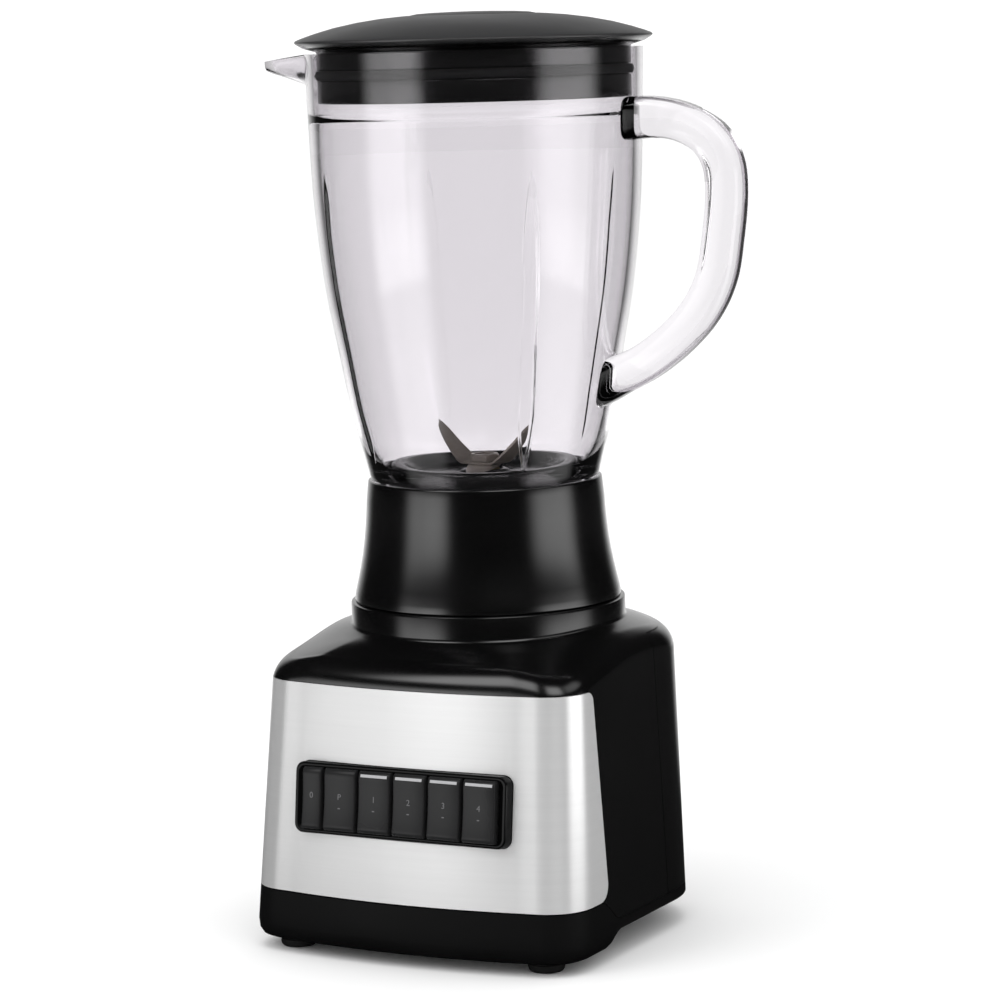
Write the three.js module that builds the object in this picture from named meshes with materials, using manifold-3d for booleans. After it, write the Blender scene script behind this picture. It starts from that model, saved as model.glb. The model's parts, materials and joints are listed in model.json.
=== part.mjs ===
// Countertop blender with a glass jar, a steel-fronted base and six piano keys.
// Millimetres, +Z up. The front faces -Y and the jar's handle points to +X.
// Everything is laid out about the drive axis, x = y = 0, with the table at z = 0,
// and the whole assembly is moved once, at the end, so that its box stands on the origin.

import * as THREE from 'three';
import { mergeVertices } from 'three/addons/utils/BufferGeometryUtils.js';
import Module from 'manifold-3d';

const wasm = await Module();
wasm.setup();

// ---------------------------------------------------------------- driving dimensions

const GAP = 0.3;                    // clearance between pieces that touch
const BIG = 300;                    // longer than anything it cuts
const SMOOTHING = 0.02;

// Base outline at the height of the panel's top edge
const HALF_WIDTH = 75.2;
const FRONT = 78;                   // front face to the drive axis, at the centre
const FRONT_BOW = 5.2;              // how far the front bulges past its corners
const BACK = 66;
const FRONT_CORNER = 18;
const BACK_CORNER = 46;
const WIDTH_GROWTH = 0.00058;       // widening for each millimetre down
const DEPTH_GROWTH = 0.00081;
const WALL = 2.8;

// Heights of the base
const TRAY_BOTTOM = 5;
const TRAY_SIDE_BOTTOM = 12.5;
const SEAM_FRONT = 26.7;
const SEAM_SIDE = 17;
const STEP_START = -54;             // the tray's edge steps up between these two depths
const STEP_END = -38;
const PANEL_TOP = 116.4;
const PANEL_END_TOP = -50.7;        // depth where the steel panel ends on each side, at its top
const PANEL_END_BOTTOM = -47.6;     // and at its bottom
const PANEL_THICKNESS = 1;
const COVER_SPLIT = 10;             // depth of the seam between front housing and rear cover
const COVER_TOP = 131;
const TURRET_TOP = 145.5;
const TURRET_RADIUS = 60;
const BOSS_TOP = 150;
const BOSS_RADIUS = 42;

// Keys, laid out on the sloping front face
const PANEL_TILT = Math.atan(0.117);
const KEY_ROW_HEIGHT = 69;
const KEY_ROW_DEPTH = -83.6;
const BEZEL_WIDTH = 101.6;
const BEZEL_HEIGHT = 30.4;
const OFF_KEY_WIDTH = 10.6;
const KEY_WIDTH = 16.7;
const KEY_HEIGHT = 26.4;
const KEY_PROUD = 4;
const KEY_TRAVEL = 3;

// Jar
const JAR_TURN = THREE.MathUtils.degToRad(5);
const COLLAR_TOP = 198.5;
const LEDGE_TOP = 177;
const NECK_RADIUS = 47.6;
const GLASS_BOTTOM = 182.9;
const GLASS_RIM = 383;
const FLUTE_ANGLE = THREE.MathUtils.degToRad(41.5);
const HANDLE_RADIAL = 16;
const HANDLE_WIDTH = 20;
const SPOUT_REACH = 100.2;

// Lid
const LID_RADIUS = 77.2;
const PLUG_RADIUS = 67.6;
const PLUG_BOTTOM = 362;
const FILLER_RADIUS = 24.3;
const CAP_TOP = 399.6;

// Drive and motor
const SHAFT_RADIUS = 4;
const COUPLING_FLOOR = 157;
const COUPLING_TOP = 166;
const DRIVEN_BOTTOM = 158;
const STATOR_BOTTOM = 58;
const STATOR_TOP = 94;
const ROTOR_RADIUS = 16.6;
const MOTOR_BOLT = { x: 33, y: 24 };
const FLOOR_TOP = 203.6;
const DISH_FLOOR = 196.6;
const BUSH_TOP = 198.5;
const BLADE_HUB = 200;

// ---------------------------------------------------------------- finishes

const finish = (color, roughness, metalness = 0) =>
  new THREE.MeshStandardMaterial({ color, roughness, metalness });
const FINISH = {
  blackPlastic: () => finish(0x131313, 0.35),
  lidPlastic: () => finish(0x2b2b2c, 0.6),
  keyPlastic: () => finish(0x3a3a3c, 0.45),
  steelPanel: () => finish(0xd9d9d8, 0.32, 1),
  bladeSteel: () => finish(0xa8a39c, 0.25, 1),
  machineSteel: () => finish(0x8f9193, 0.4, 1),
  laminations: () => finish(0x55575a, 0.5, 1),
  copper: () => finish(0xb5713a, 0.35, 1),
  brass: () => finish(0xc2a14d, 0.35, 1),
  carbon: () => finish(0x2a2a2a, 0.8),
  rubber: () => finish(0x101010, 0.85),
  clearSilicone: () => finish(0xd8d8d4, 0.6),
  nylon: () => finish(0xe6e2d8, 0.55),
  glass: () => new THREE.MeshStandardMaterial({
    color: 0xeef2f2, roughness: 0.05, transparent: true, opacity: 0.35,
  }),
};

// ---------------------------------------------------------------- geometry helpers

const v2 = (x, y) => new THREE.Vector2(x, y);

// A closed geometry becomes a solid: vertices merged, needle triangles dropped, faces outward.
function solid(geometry) {
  const bare = geometry.clone();
  bare.deleteAttribute('normal');
  bare.deleteAttribute('uv');
  const merged = mergeVertices(bare, 1e-3);
  const position = merged.attributes.position;
  const index = merged.index.array;
  const corners = [new THREE.Vector3(), new THREE.Vector3(), new THREE.Vector3()];
  const triangles = [];
  let volume = 0;
  for (let i = 0; i < index.length; i += 3) {
    const [a, b, c] = index.slice(i, i + 3);
    if (a === b || b === c || c === a) continue;
    triangles.push(a, b, c);
    corners.forEach((corner, k) => corner.fromBufferAttribute(position, index[i + k]));
    volume += corners[0].dot(corners[1].clone().cross(corners[2]));
  }
  if (volume < 0) triangles.reverse();
  return new wasm.Manifold(new wasm.Mesh({
    numProp: 3,
    vertProperties: new Float32Array(position.array),
    triVerts: new Uint32Array(triangles),
  }));
}

// Vertices closer to a straight edge or flat face than SMOOTHING are left out.
function geometryOf(body) {
  const mesh = body.simplify(SMOOTHING).getMesh();
  const geometry = new THREE.BufferGeometry();
  geometry.setAttribute('position', new THREE.BufferAttribute(mesh.vertProperties, 3));
  geometry.setIndex(new THREE.BufferAttribute(mesh.triVerts, 1));
  return geometry;
}

// Turned solid about Z from [radius, height] points; a profile off the axis is closed on itself.
function turned(profile, segments = 32) {
  const points = profile.map(([r, z]) => v2(r, z));
  if (profile[0][0] > 0) points.push(points[0].clone());
  return solid(new THREE.LatheGeometry(points, segments).rotateX(Math.PI / 2));
}

const ring = (inner, outer, bottom, top, segments = 32) =>
  turned([[inner, bottom], [outer, bottom], [outer, top], [inner, top]], segments);

const disc = (radius, bottom, top, segments = 24) =>
  turned([[0, bottom], [radius, bottom], [radius, top], [0, top]], segments);

// A shape in the XY plane raised from one height to another.
const raised = (shape, bottom, top) =>
  solid(new THREE.ExtrudeGeometry(shape, { depth: top - bottom, bevelEnabled: false, curveSegments: 4 })
    .translate(0, 0, bottom));

// A [y, z] polygon made into a prism along X, centred.
function prismAlongX(points, length) {
  const shape = new THREE.Shape(points.map(([y, z]) => v2(y, z)));
  const geometry = new THREE.ExtrudeGeometry(shape, { depth: length, bevelEnabled: false });
  const axes = new THREE.Matrix4().makeBasis(
    new THREE.Vector3(0, 1, 0), new THREE.Vector3(0, 0, 1), new THREE.Vector3(1, 0, 0));
  return solid(geometry.translate(0, 0, -length / 2).applyMatrix4(axes));
}

const block = (x0, x1, y0, y1, z0, z1) =>
  solid(new THREE.BoxGeometry(x1 - x0, y1 - y0, z1 - z0)
    .translate((x0 + x1) / 2, (y0 + y1) / 2, (z0 + z1) / 2));

const moved = (body, x, y, z) => body.translate([x, y, z]);

function roundedRect(width, height, radius) {
  const x = width / 2;
  const y = height / 2;
  const shape = new THREE.Shape();
  shape.moveTo(-x + radius, -y);
  shape.lineTo(x - radius, -y);
  shape.absarc(x - radius, -y + radius, radius, -Math.PI / 2, 0);
  shape.lineTo(x, y - radius);
  shape.absarc(x - radius, y - radius, radius, 0, Math.PI / 2);
  shape.lineTo(-x + radius, y);
  shape.absarc(-x + radius, y - radius, radius, Math.PI / 2, Math.PI);
  shape.lineTo(-x, -y + radius);
  shape.absarc(-x + radius, -y + radius, radius, Math.PI, 1.5 * Math.PI);
  return shape;
}

// A rod of elliptical section along a curve, across being its width along the curve's side.
function rod(curve, thickness, width, steps, sides = 8) {
  const shape = new THREE.Shape();
  shape.absellipse(0, 0, thickness / 2, width / 2, 0, 2 * Math.PI);
  const points = shape.getPoints(sides / 2).slice(0, -1);
  const section = new THREE.Shape(points);
  return solid(new THREE.ExtrudeGeometry(section, { steps, extrudePath: curve, bevelEnabled: false }));
}

// ---------------------------------------------------------------- assembly

const blender = new THREE.Group();
const keyRow = new THREE.Group();
keyRow.position.set(0, KEY_ROW_DEPTH, KEY_ROW_HEIGHT);
keyRow.rotation.x = -PANEL_TILT;
blender.add(keyRow);
const jarGroup = new THREE.Group();
jarGroup.rotation.z = JAR_TURN;
blender.add(jarGroup);

function addPart(name, body, material, parent = blender) {
  const mesh = new THREE.Mesh(geometryOf(body), material);
  mesh.name = name;
  parent.add(mesh);
  return mesh;
}

// ---------------------------------------------------------------- base shells

// The base's plan outline, pulled in by an inset: bowed front, straight sides, round back.
function outline(inset) {
  const half = HALF_WIDTH - inset;
  const corner = FRONT_CORNER - inset;
  const backCorner = BACK_CORNER - inset;
  const cornerY = -(FRONT - FRONT_BOW) + FRONT_CORNER;
  const bowHalf = half - corner;
  const shape = new THREE.Shape();
  shape.moveTo(-bowHalf, cornerY - corner);
  shape.quadraticCurveTo(0, -FRONT - FRONT_BOW + inset, bowHalf, cornerY - corner);
  shape.absarc(bowHalf, cornerY, corner, -Math.PI / 2, 0);
  shape.lineTo(half, BACK - BACK_CORNER);
  shape.absarc(half - backCorner, BACK - BACK_CORNER, backCorner, 0, Math.PI / 2);
  shape.lineTo(-half + backCorner, BACK - inset);
  shape.absarc(-half + backCorner, BACK - BACK_CORNER, backCorner, Math.PI / 2, Math.PI);
  shape.lineTo(-half, cornerY);
  shape.absarc(-half + corner, cornerY, corner, Math.PI, 1.5 * Math.PI);
  return shape;
}

// The outline raised and spread towards the table, growing about the middle of the back.
function taperedBody(inset, bottom, top, bevel = { bevelEnabled: false }) {
  const geometry = new THREE.ExtrudeGeometry(outline(inset), {
    depth: top - bottom, curveSegments: 4, ...bevel,
  }).translate(0, 0, bottom);
  const position = geometry.attributes.position;
  for (let i = 0; i < position.count; i += 1) {
    const drop = PANEL_TOP - position.getZ(i);
    const y = position.getY(i);
    position.setX(i, position.getX(i) * (1 + drop * WIDTH_GROWTH));
    position.setY(i, BACK + (y - BACK) * (1 + drop * DEPTH_GROWTH));
  }
  return solid(geometry);
}

// Everything under the roof, which flares from the turret down to the shoulders.
function underRoof(drop) {
  return turned([
    [0, -1], [130, -1], [130, 108 - drop], [95, 122.6 - drop], [86, 126 - drop], [78, 129.4 - drop],
    [71, 132.8 - drop], [65.5, 136.4 - drop], [62 - drop / 3, 139.6 - drop],
    [TURRET_RADIUS - drop, 143 - drop], [TURRET_RADIUS - drop, TURRET_TOP - drop], [0, TURRET_TOP - drop],
  ], 32);
}

// The line between tray and housing, and the tray's bottom edge, both step up behind the front.
const stepLine = (front, side) => [
  [-BIG, front], [STEP_START, front], [(STEP_START * 2 + STEP_END) / 3, (front * 4 + side) / 5],
  [(STEP_START + STEP_END * 2) / 3, (front + side * 4) / 5], [STEP_END, side], [BIG, side],
];
const below = (front, side) =>
  prismAlongX([[-BIG, -BIG], ...stepLine(front, side), [BIG, -BIG]].reverse(), BIG);
const above = (front, side) =>
  prismAlongX([...stepLine(front, side), [BIG, BIG], [-BIG, BIG]], BIG);

// Side view of the panel, wrapped round both front corners; grow widens it into its recess.
function panelRegion(grow) {
  const high = PANEL_END_TOP + grow;
  const low = PANEL_END_BOTTOM + grow;
  const top = PANEL_TOP + grow;
  const bottom = SEAM_FRONT + GAP - grow;
  const round = 5;
  return prismAlongX([
    [-BIG, bottom], [low - round, bottom], [low - round / 3, bottom + round / 3], [low, bottom + round],
    [high, top - round], [high - round / 3, top - round / 3], [high - round, top], [-BIG, top],
  ], BIG);
}

// A hole through the front face, square to it, for the bezel.
function onKeyRow(body) {
  const degrees = THREE.MathUtils.radToDeg(-PANEL_TILT);
  return body.rotate([degrees, 0, 0]).translate([0, KEY_ROW_DEPTH, KEY_ROW_HEIGHT]);
}
const bezelHole = (clearance) => onKeyRow(block(
  -BEZEL_WIDTH / 2 - clearance, BEZEL_WIDTH / 2 + clearance, -12, 20,
  -BEZEL_HEIGHT / 2 - clearance, BEZEL_HEIGHT / 2 + clearance));

const SCREW_PLACES = [
  { name: 'front_left', x: -72, y: -42 }, { name: 'front_right', x: 72, y: -42 },
  { name: 'rear_left', x: -72, y: 24 }, { name: 'rear_right', x: 72, y: 24 },
];
const SCREW_BOSS_TOP = 42;

function housingShell() {
  const outer = taperedBody(0, 0, 160).intersect(underRoof(0));
  const inner = taperedBody(WALL, -10, 160).intersect(underRoof(WALL));
  const recess = taperedBody(-8, 0, 160).subtract(taperedBody(PANEL_THICKNESS + GAP, -5, 165))
    .intersect(panelRegion(GAP));
  let shell = outer.subtract(inner);
  for (const { x, y } of SCREW_PLACES) {
    const boss = moved(ring(2.2, 5, SEAM_SIDE, SCREW_BOSS_TOP, 10), x, y, 0);
    shell = shell.add(boss.intersect(taperedBody(1, 0, 160)));
    shell = shell.subtract(moved(disc(2.2, 0, SCREW_BOSS_TOP - 4, 8), x, y, 0));
  }
  shell = shell.add(ring(14, BOSS_RADIUS, TURRET_TOP - WALL, BOSS_TOP, 28));
  return shell.subtract(disc(14, TURRET_TOP - 2 * WALL, BOSS_TOP + 5, 24))
    .subtract(recess)
    .subtract(bezelHole(GAP))
    .intersect(above(SEAM_FRONT, SEAM_SIDE));
}

function addShells() {
  const shell = housingShell();
  const rearRegion = block(-BIG, BIG, COVER_SPLIT, BIG, -BIG, COVER_TOP);
  const rearRoom = block(-BIG, BIG, COVER_SPLIT - GAP, BIG, -BIG, COVER_TOP + GAP);
  const grommetHole = moved(disc(6.5, -20, 20, 12).rotate([90, 0, 0]), 0, BACK, 34);
  addPart('front_housing', shell.subtract(rearRoom), FINISH.blackPlastic());
  addPart('rear_cover', shell.intersect(rearRegion).subtract(grommetHole), FINISH.blackPlastic());
}

function addFrontPanel() {
  const panel = taperedBody(0, 0, 160).subtract(taperedBody(PANEL_THICKNESS, -5, 165))
    .intersect(panelRegion(0))
    .subtract(bezelHole(GAP));
  addPart('front_panel', panel, FINISH.steelPanel());
}

// ---------------------------------------------------------------- tray, feet and screws

const TRAY_FLOOR = TRAY_SIDE_BOTTOM + 3;
const POST_TOP = 29.7;
const FOOT_RADIUS = 8;
const FEET = [
  { name: 'front_left', x: -60.2, y: -70 }, { name: 'front_right', x: 60.2, y: -70 },
  { name: 'rear_left', x: -48, y: 42 }, { name: 'rear_right', x: 48, y: 42 },
];

function trayShell() {
  const rounding = 6;
  const skirt = taperedBody(0, TRAY_BOTTOM + rounding, 60, {
    bevelEnabled: true, bevelThickness: rounding, bevelSize: 4.5, bevelOffset: -4.5, bevelSegments: 2,
  });
  const outer = skirt.intersect(below(SEAM_FRONT - GAP, SEAM_SIDE - GAP))
    .intersect(above(TRAY_BOTTOM, TRAY_SIDE_BOTTOM));
  const hollow = taperedBody(WALL, -20, 60).intersect(above(TRAY_BOTTOM + 3, TRAY_FLOOR));
  return outer.subtract(hollow);
}

function addTray() {
  let tray = trayShell();
  for (const side of [-1, 1]) {
    for (const depth of [-1, 1]) {
      const [x, y] = [side * MOTOR_BOLT.x, depth * MOTOR_BOLT.y];
      tray = tray.add(moved(disc(4.5, TRAY_SIDE_BOTTOM + 1, POST_TOP, 10), x, y, 0));
    }
  }
  for (const { x, y } of FEET.slice(2)) {
    tray = tray.add(moved(disc(FOOT_RADIUS + 1, TRAY_BOTTOM, TRAY_FLOOR, 14), x, y, 0));
  }
  for (const { x, y } of SCREW_PLACES) {
    tray = tray.add(moved(disc(5, TRAY_SIDE_BOTTOM, SEAM_SIDE - GAP, 10), x, y, 0)
      .intersect(taperedBody(1, 0, 60)));
    tray = tray.subtract(moved(disc(2.2, 0, 40, 8), x, y, 0));
    tray = tray.subtract(moved(disc(4, -20, TRAY_SIDE_BOTTOM + 2, 10), x, y, 0));
  }
  for (let slot = -2; slot <= 2; slot += 1) {
    tray = tray.subtract(block(slot * 9 - 2, slot * 9 + 2, -16, 16, 0, 25));
  }
  for (const sign of [-1, 1]) {
    const [x, y] = [sign * MOTOR_BOLT.x, sign * MOTOR_BOLT.y];
    tray = tray.subtract(moved(disc(2.4, 19, 60, 8), x, y, 0));
  }
  addPart('base_tray', tray, FINISH.blackPlastic());
}

function addFeet() {
  const foot = [[0, 0], [FOOT_RADIUS - 1.5, 0], [FOOT_RADIUS, 1.5], [FOOT_RADIUS, TRAY_BOTTOM - GAP],
    [0, TRAY_BOTTOM - GAP]];
  for (const { name, x, y } of FEET) {
    addPart(`foot_${name}`, turned(foot, 14), FINISH.rubber()).position.set(x, y, 0);
  }
}

// A round-headed screw standing on its head, its shank pointing up.
const screw = (headRadius, headHeight, shankRadius, length) =>
  turned([[0, 0], [headRadius, 0], [headRadius, headHeight], [shankRadius, headHeight],
    [shankRadius, length], [0, length]], 8);

function addTrayScrews() {
  for (const { name, x, y } of SCREW_PLACES) {
    const mesh = addPart(`tray_screw_${name}`, screw(3.6, 2, 1.8, 22), FINISH.machineSteel());
    mesh.position.set(x, y, TRAY_SIDE_BOTTOM - GAP);
  }
}

function addGrommet() {
  const grommet = turned([[3.4, -3.5], [7.6, -3.5], [7.6, -GAP], [6.1, -GAP], [6.1, WALL + GAP],
    [7.6, WALL + GAP], [7.6, WALL + 3], [3.4, WALL + 3]], 12);
  const mesh = addPart('cord_grommet', grommet, FINISH.rubber());
  mesh.rotation.x = Math.PI / 2;
  mesh.position.set(0, BACK, 34);
}

// ---------------------------------------------------------------- keys

const KEY_NAMES = ['off', 'pulse', 'speed_1', 'speed_2', 'speed_3', 'speed_4'];
const KEY_ROW_WIDTH = OFF_KEY_WIDTH + 5 * KEY_WIDTH;
const PLATE_FRONT = 10;
const PLATE_BACK = 12;
const STEM_TIP = 16;
const STEM_HALF = 2;

// Each key's left edge and width along the row.
function keySpans() {
  let left = -KEY_ROW_WIDTH / 2;
  return KEY_NAMES.map((name, i) => {
    const width = i === 0 ? OFF_KEY_WIDTH : KEY_WIDTH;
    const span = { name, centre: left + width / 2, width: width - 2 * GAP };
    left += width;
    return span;
  });
}

// A rounded plate in the plane of the front face, between two depths behind it.
const facePlate = (width, height, radius, front, back) =>
  raised(roundedRect(width, height, radius), -back, -front).rotate([90, 0, 0]);

function addBezel() {
  let bezel = facePlate(BEZEL_WIDTH, BEZEL_HEIGHT, 4, -1.5, PLATE_BACK)
    .subtract(facePlate(KEY_ROW_WIDTH + 2 * GAP, KEY_HEIGHT + 2 * GAP, 1, -5, PLATE_FRONT));
  for (const { centre } of keySpans()) {
    bezel = bezel.subtract(block(centre - 2.5, centre + 2.5, 5, 20, -2.5, 2.5));
  }
  addPart('key_bezel', bezel, FINISH.blackPlastic(), keyRow);
}

function addSwitchBlock() {
  let body = block(-KEY_ROW_WIDTH / 2, KEY_ROW_WIDTH / 2, PLATE_BACK + GAP, 28, -10, 10);
  for (const { centre } of keySpans()) {
    body = body.subtract(block(centre - 2.5, centre + 2.5, 10, STEM_TIP + KEY_TRAVEL + 1, -2.5, 2.5));
  }
  addPart('switch_block', body, FINISH.nylon(), keyRow);
}

// A key is a shallow rocker face on a square stem that works the switch behind it.
function keyBody(width) {
  const half = KEY_HEIGHT / 2;
  const face = prismAlongX([[3, -half], [3, half], [-KEY_PROUD + 0.6, half], [-KEY_PROUD, half - 1.2],
    [-KEY_PROUD + 0.9, 0], [-KEY_PROUD, -half + 1.2], [-KEY_PROUD + 0.6, -half]].reverse(), width);
  return face.add(block(-STEM_HALF, STEM_HALF, 2.5, STEM_TIP, -STEM_HALF, STEM_HALF));
}

class Helix extends THREE.Curve {
  constructor(radius, bottom, top, turns) {
    super();
    Object.assign(this, { radius, bottom, top, turns });
  }

  getPoint(t, target = new THREE.Vector3()) {
    const angle = t * this.turns * 2 * Math.PI;
    const height = this.bottom + (this.top - this.bottom) * t;
    return target.set(this.radius * Math.cos(angle), height, this.radius * Math.sin(angle));
  }
}

function addKeys() {
  const wire = 0.8;
  const coil = rod(new Helix(4, 3.3 + wire / 2, PLATE_FRONT - GAP - wire / 2, 3), wire, wire, 18, 4);
  for (const { name, centre, width } of keySpans()) {
    addPart(`key_${name}`, keyBody(width), FINISH.keyPlastic(), keyRow).position.x = centre;
    addPart(`key_spring_${name}`, coil, FINISH.machineSteel(), keyRow).position.x = centre;
  }
}

// ---------------------------------------------------------------- motor

function addStator() {
  let stator = raised(roundedRect(84, 64, 10), STATOR_BOTTOM, STATOR_TOP)
    .subtract(disc(ROTOR_RADIUS + 0.8, 0, BIG, 22));
  for (const side of [-1, 1]) {
    for (const depth of [-1, 1]) {
      const [x, y] = [side * 17, depth * 23.5];
      stator = stator.subtract(block(x - 3.5, x + 3.5, y - 4, y + 4, 0, BIG));
    }
    stator = stator.subtract(moved(disc(2.4, 0, BIG, 8), side * MOTOR_BOLT.x, side * MOTOR_BOLT.y, 0));
  }
  addPart('stator', stator, FINISH.laminations());
}

function addFieldCoils() {
  for (const [name, y] of [['front', -23.5], ['rear', 23.5]]) {
    const outer = block(-20, 20, y - 3.5, y + 3.5, STATOR_BOTTOM - 7, STATOR_TOP + 7);
    const inner = block(-14, 14, y - 9, y + 9, STATOR_BOTTOM - 1, STATOR_TOP + 1);
    addPart(`field_coil_${name}`, outer.subtract(inner), FINISH.copper());
  }
}

// A flat bracket across the motor, with a cup for its bearing and two bolt holes.
function bracket(bottom, top, cupOuter, windows) {
  let plate = raised(roundedRect(84, 60, 12), bottom, top).subtract(disc(cupOuter, 0, BIG, 18));
  for (const [x, y, width, depth] of windows) {
    plate = plate.subtract(block(x - width / 2, x + width / 2, y - depth / 2, y + depth / 2, 0, BIG));
  }
  for (const sign of [-1, 1]) {
    plate = plate.subtract(moved(disc(2.4, 0, BIG, 8), sign * MOTOR_BOLT.x, sign * MOTOR_BOLT.y, 0));
  }
  return plate;
}

function addMotorFrame() {
  const windows = [[0, -20, 36, 10], [0, 20, 36, 10]];
  addPart('motor_bracket_lower', bracket(30, 34, 11.3, windows), FINISH.machineSteel());
  addPart('motor_bracket_upper', bracket(106, 110, 11.3, windows), FINISH.machineSteel());
  addPart('motor_bearing_lower', ring(SHAFT_RADIUS + GAP, 11, 28, 35, 18), FINISH.machineSteel());
  addPart('motor_bearing_upper', ring(SHAFT_RADIUS + GAP, 11, 105, 112, 18), FINISH.machineSteel());
  for (const [name, sign] of [['left', -1], ['right', 1]]) {
    const bolt = screw(4, 3, 2, 92);
    const mesh = addPart(`motor_bolt_${name}`, bolt, FINISH.machineSteel());
    mesh.rotation.x = Math.PI;
    mesh.position.set(sign * MOTOR_BOLT.x, sign * MOTOR_BOLT.y, 110 + GAP + 3);
  }
}

function addBrushes() {
  for (const [name, sign] of [['left', -1], ['right', 1]]) {
    const near = sign < 0 ? -36 : 13;
    const far = sign < 0 ? -13 : 36;
    const holder = block(near, far, -5, 5, 34.3, 48).subtract(
      block(-BIG, BIG, -3, 3, 39, 46));
    const brush = block(sign < 0 ? -30 : 11, sign < 0 ? -11 : 30, -2.6, 2.6, 39.4, 45.6);
    addPart(`brush_holder_${name}`, holder, FINISH.brass());
    addPart(`carbon_brush_${name}`, brush, FINISH.carbon());
  }
}

function addRotor() {
  addPart('motor_shaft', disc(SHAFT_RADIUS, 17, COUPLING_FLOOR - GAP, 16), FINISH.machineSteel());
  addPart('commutator', ring(SHAFT_RADIUS + GAP, 10.6, 37, 50, 18), FINISH.copper());
  addPart('armature_core', ring(11.6, ROTOR_RADIUS, STATOR_BOTTOM, STATOR_TOP, 22), FINISH.laminations());
  const spool = [[SHAFT_RADIUS + GAP, 51], [13, 51], [15, STATOR_BOTTOM - GAP], [11.3, STATOR_BOTTOM - GAP],
    [11.3, STATOR_TOP + GAP], [15, STATOR_TOP + GAP], [13, 101], [SHAFT_RADIUS + GAP, 101]];
  addPart('armature_winding', turned(spool, 18), FINISH.copper());
  addFan();
  addDriveCoupling();
}

function addFan() {
  const hubRadius = 9;
  let fan = ring(SHAFT_RADIUS + GAP, hubRadius, 19, 27, 16).add(ring(hubRadius - 1, 27, 25.5, 27, 16));
  for (let blade = 0; blade < 8; blade += 1) {
    const vane = block(hubRadius - 1, 27, -0.8, 0.8, 19, 26).rotate([0, 0, blade * 45]);
    fan = fan.add(vane);
  }
  addPart('cooling_fan', fan, FINISH.nylon());
}

// A six-pointed star, the coupling's spline.
function starShape(innerRadius, outerRadius) {
  const points = [];
  for (let i = 0; i < 12; i += 1) {
    const radius = i % 2 ? innerRadius : outerRadius;
    points.push(v2(radius * Math.cos(i * Math.PI / 6), radius * Math.sin(i * Math.PI / 6)));
  }
  return new THREE.Shape(points);
}

function addDriveCoupling() {
  const coupling = disc(16, BOSS_TOP + 1.5, COUPLING_TOP, 24)
    .subtract(raised(starShape(9, 13), COUPLING_FLOOR, COUPLING_TOP + 5))
    .subtract(disc(SHAFT_RADIUS + GAP, 0, COUPLING_FLOOR + 1, 16));
  addPart('drive_coupling', coupling, FINISH.nylon());
}

// ---------------------------------------------------------------- jar base and blades

function addTurretSeal() {
  const seal = ring(SHAFT_RADIUS + 1, 13.6, TURRET_TOP - WALL, BOSS_TOP + 0.6, 18);
  addPart('turret_seal', seal, FINISH.rubber());
}

function addJarBase() {
  const bore = NECK_RADIUS + GAP;
  const collar = [[50.9, COLLAR_TOP], [51.9, 190], [52.7, 180], [53.6, 171], [55.3, 161], [57.2, 152],
    [58.4, TURRET_TOP + GAP], [55, TURRET_TOP + GAP], [53.4, 155], [51, 165], [49.6, 173.6], [38, 173.6],
    [38, LEDGE_TOP], [bore, LEDGE_TOP], [bore, COLLAR_TOP]];
  addPart('jar_collar', turned(collar, 32), FINISH.blackPlastic(), jarGroup);
  const base = LEDGE_TOP + GAP;
  const carrier = [[7, 170], [11.5, 170], [11.5, base], [NECK_RADIUS, base], [NECK_RADIUS, base + 3],
    [42, base + 3], [42, FLOOR_TOP - 2], [40.5, FLOOR_TOP], [36, FLOOR_TOP], [31, DISH_FLOOR],
    [12, DISH_FLOOR], [10, BUSH_TOP], [7, BUSH_TOP]];
  addPart('blade_carrier', turned(carrier, 28), FINISH.blackPlastic(), jarGroup);
  const seal = ring(42.4, NECK_RADIUS - 0.2, base + 3 + GAP, GLASS_BOTTOM - GAP, 28);
  addPart('jar_seal', seal, FINISH.clearSilicone(), jarGroup);
  const bush = ring(SHAFT_RADIUS + GAP, 6.7, 170.5, BUSH_TOP, 20);
  addPart('shaft_bush', bush, FINISH.brass(), jarGroup);
}

// A blade: a bent strip cut to a pointed outline, its two arms leaving the hub at one slope.
function bladeBody(hubBottom, reach, tipRise, thickness) {
  const hub = 9;
  const side = [[-reach, tipRise], [-hub, 0], [hub, 0], [reach, tipRise],
    [reach - 0.6, tipRise + thickness], [hub - 0.5, thickness], [-hub + 0.5, thickness],
    [-reach + 0.6, tipRise + thickness]];
  const strip = prismAlongX(side, 30).rotate([0, 0, 90]);
  const plan = new THREE.Shape();
  plan.moveTo(-reach - 1, -2.5);
  plan.quadraticCurveTo(-reach * 0.6, -7.5, 0, -7);
  plan.quadraticCurveTo(reach * 0.6, -4, reach + 1, 2.5);
  plan.quadraticCurveTo(reach * 0.6, 7.5, 0, 7);
  plan.quadraticCurveTo(-reach * 0.6, 4, -reach - 1, -2.5);
  return strip.intersect(raised(plan, -50, 50)).subtract(disc(SHAFT_RADIUS + GAP, -50, 50, 16))
    .translate([0, 0, hubBottom]);
}

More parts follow.
